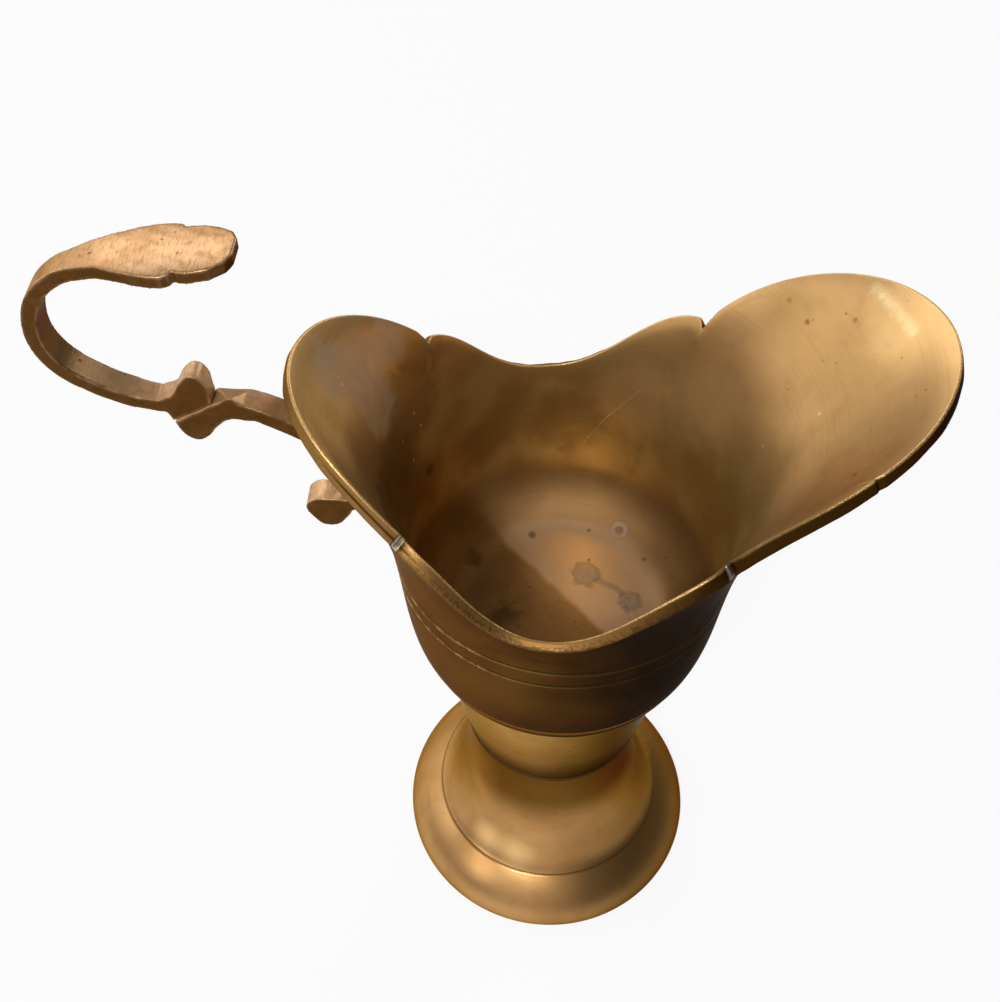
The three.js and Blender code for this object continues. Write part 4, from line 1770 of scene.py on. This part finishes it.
@dataclass
class UpperScroll(CastStrap):
    """The C-shaped strap with the thumb leaf."""

    node: str = "handle_upper_scroll"
    name: str = "upper_scroll"
    bumps: tuple[Bump, ...] = (
        Bump((-80.8, -1.6, 192.2), 0.45, 0.22), Bump((-81.2, -2.6, 189.6), 0.45, 0.2),
        Bump((-102.5, -3.2, 189.8), 0.4, -0.3),
    )
    leaf_z: float = 218.0
    leaf_half: float = 8.3
    crown: float = 0.8
    bend_middle: Point = (-90, 0, 206)

    def inner_face(self, points: np.ndarray, normals: np.ndarray) -> np.ndarray:
        """How far each vertex faces the middle of the C.

        Args:
            points: The skin's points, in millimetres about the axis.
            normals: Their normals.

        Returns:
            A share for each.
        """
        inwards = (np.array(self.bend_middle) - points) * (1, 0, 1)
        inwards /= np.linalg.norm(inwards, axis=1, keepdims=True)
        facing = np.clip(((inwards * normals).sum(axis=1) - 0.3) / 0.4, 0, 1)
        return facing * np.clip((-85 - points[:, 0]) / 13, 0, 1)

    def sideways(self, points: np.ndarray, normals: np.ndarray) -> np.ndarray:
        """The strap's two sides, and the edge round the leaf's end."""
        leaf_end = np.clip((points[:, 0] + 80) / 6, 0, 1) * (points[:, 2] > 210)
        return np.hypot(normals[:, 1], normals[:, 0] * leaf_end)

    def shape(self, points: np.ndarray) -> np.ndarray:
        """Crown the leaf and leave the skin slightly uneven.

        Args:
            points: The skin's points, in millimetres about the axis.

        Returns:
            The points as moved.
        """
        x, y, z = points.T
        on_leaf = np.clip((x + 100) / 12, 0, 1) * np.clip((z - self.leaf_z) / 4, 0, 1)
        drop = self.crown * (np.abs(y) / self.leaf_half) ** 2.2 * on_leaf
        wave = 0.05 * np.sin(x * 0.9 + y * 0.5) * np.sin(y * 1.1 + 1) + 0.04 * np.sin(x * 0.37 + z * 0.5)
        return np.stack([x, y + wave * 0.6, z - drop + wave * 0.6], axis=1)


@dataclass
class LowerScroll(CastStrap):
    """The strap that carries the upper scroll and lies against the bowl."""

    node: str = "handle_lower_scroll"
    name: str = "lower_scroll"
    facets: tuple[Facet, ...] = (
        Facet((-73.6, -2.65, 186.1), (0.044, 0.370, 0.928)),
        Facet((-59.6, -3.1, 148.0), (-0.852, 0, -0.524)),
        Facet((-57.8, -3.1, 145.05), (-0.163, 0, -0.987)),
        Facet((-53.7, -3.1, 144.4), (0.829, 0, -0.558)),
    )

    def shape(self, points: np.ndarray) -> np.ndarray:
        """Leave the skin slightly uneven.

        Args:
            points: The skin's points, in millimetres about the axis.

        Returns:
            The points as moved.
        """
        x, y, z = points.T
        wave = 0.05 * np.sin(x * 0.8 + z * 0.5) * np.sin(y * 1.3 + 1)
        return np.stack([x, y + wave, z + wave], axis=1)


@dataclass
class Braze:
    """The bead of solder where the lower scroll lies against the bowl's wall."""

    axis_x: float
    material: bpy.types.Material
    bowl: Bowl
    node: str = "handle_lower_scroll"
    half_width: float = 3.0
    radius: float = 0.55
    contact_gap: float = 0.45

    def contact(self) -> Pair:
        """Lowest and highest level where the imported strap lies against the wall, above the bowl's base.

        Returns:
            The two levels.
        """
        vertices = bpy.data.objects[self.node].data.vertices
        x, y, z = (read_vectors(vertices, "co") / MM - (self.axis_x, 0, self.bowl.bottom)).T
        turn = np.degrees(np.arctan2(y, x)) % 360
        near = np.hypot(x, y) - self.bowl.outer(z, turn) < self.contact_gap
        return float(z[near].min()), float(z[near].max())

    def path(self) -> list[Point]:
        """The bead's closed line on the wall, round the strap's contact.

        Returns:
            Its corners.
        """
        low, high = self.contact()
        middle, half = (low + high) / 2, (high - low) / 2
        line = []
        for turn in np.linspace(0, 2 * math.pi, 73)[:-1]:
            across, up = math.cos(turn), math.sin(turn)
            y = self.half_width * math.copysign(abs(across) ** 0.35, across)
            height = middle + half * math.copysign(abs(up) ** 0.8, up)
            angle = np.array([180 - math.degrees(math.asin(y / self.bowl.base_radius))])
            radius = float(self.bowl.outer(np.array([height]), angle)[0])
            side = math.radians(float(angle[0]))
            line.append((
                self.axis_x + radius * math.cos(side), radius * math.sin(side), self.bowl.bottom + height,
            ))
        return line

    def build(self) -> None:
        """Sweep the bead along its line."""
        sizes = {"Radius": self.radius * MM, "Unevenness": 0.35, "Sides": 10, "Seed": 4}
        bead = GeometryTree("braze_bead", sizes)
        route = bead.node("GeometryNodeMeshToCurve", {0: bead.given("Geometry")})
        index = bead.node("GeometryNodeInputIndex")
        place = bead.combine(index * 0.4, bead.given("Seed"), 0)
        uneven = bead.node("ShaderNodeTexNoise", {"Vector": place, "Scale": 1.0}) * 2 - 1
        circle = bead.node(
            "GeometryNodeCurvePrimitiveCircle",
            {"Resolution": bead.given("Sides"), "Radius": bead.given("Radius")},
        )
        thick = 1 + uneven * bead.given("Unevenness")
        bead.end(bead.node("GeometryNodeCurveToMesh", {0: route, 1: circle, "Scale": thick}))
        thing = bead.make("braze_bead", line_mesh("braze_line", self.path()), self.material)
        smooth_mesh(thing.data, 60)
        attach(thing, "handle_brass")


@dataclass(frozen=True)
class Lamp:
    """One square soft lamp that faces the pitcher: degrees round from +X and up, metres, and its glow."""

    name: str
    azimuth: float
    elevation: float
    distance: float
    size: float
    glow: float

    def build(self) -> None:
        """Hang the lamp; its power gives the face the glow wanted."""
        light = bpy.data.lights.new(self.name, "AREA")
        light.shape = "SQUARE"
        light.size = self.size
        light.energy = self.glow * math.pi * self.size**2
        turn, rise = math.radians(self.azimuth), math.radians(self.elevation)
        way = Vector((math.cos(turn) * math.cos(rise), math.sin(turn) * math.cos(rise), math.sin(rise)))
        thing = link_object(self.name, light)
        thing.location = Vector((0, 0, 0.12)) + way * self.distance
        thing.rotation_euler = (-way).to_track_quat("-Z", "Y").to_euler()


@dataclass
class Studio:
    """Pale floor, soft lamps and the camera."""

    axis_x: float
    floor_size: float = 3000
    seen_white: float = 0.88
    surround: float = 0.2
    camera_at: Point = (-8.0, -177.9, 369.0)
    tilt: float = 39.41
    heading: float = 2.47
    roll: float = 0.21
    lens: float = 43.11
    lamps: tuple[Lamp, ...] = (
        Lamp("window_behind", 122, 38, 1.1, 0.5, 3.1),
        Lamp("wall_behind", 152, 18, 1.2, 1.0, 1.0),
        Lamp("wall_left", -176, 26, 1.2, 0.6, 1.7),
        Lamp("window_far_right", 52, 33, 1.2, 0.4, 5.0),
        Lamp("window_front", -138, 24, 1.2, 0.2, 13.0),
        Lamp("bulb_front", -107, 49, 1.2, 0.1, 230.0),
        Lamp("wall_front", -95, 14, 1.3, 1.2, 0.35),
    )

    def white_floor(self) -> bpy.types.Material:
        """A pale floor that reads as white to the camera and in reflections but keeps its shadow.

        Returns:
            The finished material.
        """
        shader = Shader("pale_floor")
        seen = shader.node("ShaderNodeLightPath", output="Is Camera Ray")
        for ray in ("Is Glossy Ray", "Is Transmission Ray"):
            seen = seen.either(shader.node("ShaderNodeLightPath", output=ray))
        plain = shader.node("ShaderNodeBsdfDiffuse", {"Color": (0.8, 0.8, 0.8)})
        glow = shader.node("ShaderNodeEmission", {"Color": (1, 1, 1), "Strength": 1.0})
        return shader.end(shader.node("ShaderNodeMixShader", {0: seen * self.seen_white, 1: plain, 2: glow}))

    def floor(self) -> None:
        """Lay the floor the pitcher stands on."""
        half = self.floor_size / 2 * MM
        mesh = bpy.data.meshes.new("floor")
        corners = [(-half, -half, 0), (half, -half, 0), (half, half, 0), (-half, half, 0)]
        mesh.from_pydata(corners, [], [(0, 1, 2, 3)])
        add_object("floor", mesh, self.white_floor())

    def world(self) -> None:
        """A plain grey surround."""
        world = bpy.data.worlds.new("surround")
        world.use_nodes = True
        background = world.node_tree.nodes["Background"]
        background.inputs["Color"].default_value = (1, 1, 1, 1)
        background.inputs["Strength"].default_value = self.surround
        bpy.context.scene.world = world

    def camera(self) -> None:
        """Set the camera at the photograph's viewing angle."""
        data = bpy.data.cameras.new("camera")
        data.sensor_width = 36
        data.lens = self.lens
        data.clip_start = 0.01
        camera = link_object("camera", data)
        x, y, z = self.camera_at
        pose = Matrix.Translation(Vector((x + self.axis_x, y, z)) * MM)
        for degrees, axis in ((self.heading, "Z"), (self.tilt, "X"), (self.roll, "Z")):
            pose = pose @ Matrix.Rotation(math.radians(degrees), 4, axis)
        camera.matrix_world = pose
        bpy.context.scene.camera = camera

    def build(self) -> None:
        """Set up floor, surround, lamps and camera."""
        self.floor()
        self.world()
        for lamp in self.lamps:
            lamp.build()
        self.camera()
        bpy.context.scene.view_settings.view_transform = "Standard"


def main() -> None:
    """Dress the frame and set the stage."""
    logging.basicConfig(level=logging.INFO, format="%(name)s: %(message)s")
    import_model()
    low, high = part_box("foot")
    axis_x = (low[0] + high[0]) / 2 / MM

    bowl_brass = BowlFinish(
        "bowl_skin", axis_x, srgb(206, 164, 110), srgb(190, 149, 96), srgb(90, 62, 26),
        roughness=0.44, edge_tint=(0.24, 0.16, 0.05), sheen_level=0.15, streak=0.24,
    ).build()
    cup_brass = ShadedFinish(
        "cup_skin", axis_x, srgb(202, 157, 102), srgb(180, 139, 86), srgb(66, 46, 20),
        # Painted shade on the right side, towards the bottom and at the seam.
        roughness=0.36, metallic=0.95, edge_tint=(0.42, 0.35, 0.22), side_share=0.85, side_edge=(-4, 24),
        low=(62, 78), low_share=0.7, seams=((60, 2.6, 0.6),),
    ).build()
    foot_brass = ShadedFinish(
        "foot_skin", axis_x, srgb(198, 152, 98), srgb(180, 134, 82), srgb(96, 68, 32),
        # Painted shade on the right side, on the bell's upper part, at the seam and in the ring; painted
        # highlight spots on the bell.
        roughness=0.34, metallic=0.97, edge_tint=(0.36, 0.28, 0.18), side_share=0.75,
        low=(46, 30), low_share=0.8, lit_edge=(-26, -8), seams=((59.6, 2.6, 0.6), (15.5, 0.42, 0.05)),
        painted_highlights=spots((-18.1, -24.5, 20.2, 7.5), (-9.4, -28.8, 19.4, 8.5)),
    ).build()
    strap_brass = StrapFinish(
        "strap_skin", axis_x, srgb(207, 166, 125), srgb(185, 142, 101), srgb(84, 54, 20), Grain.FILED,
        roughness=0.38, edge_tint=(0.4, 0.26, 0.06), grime=0.4, streak=0.5, pits=0.8, patch_size=9,
        depth=0.045,
    ).build()
    stud_brass = BrassFinish(
        "stud_skin", axis_x, srgb(206, 168, 104), srgb(180, 140, 82), srgb(96, 70, 36)).build()

    Foot(axis_x, foot_brass).build()
    LowerCup(axis_x, cup_brass).build()
    bowl = Bowl(axis_x, bowl_brass)
    bowl.build()
    UpperScroll(axis_x, strap_brass).build()
    LowerScroll(axis_x, strap_brass).build()
    Braze(axis_x, stud_brass, bowl).build()
    Fastening(axis_x, stud_brass, SteelFinish().build()).build()
    Studio(axis_x).build()


if __name__ == "__main__":
    main()
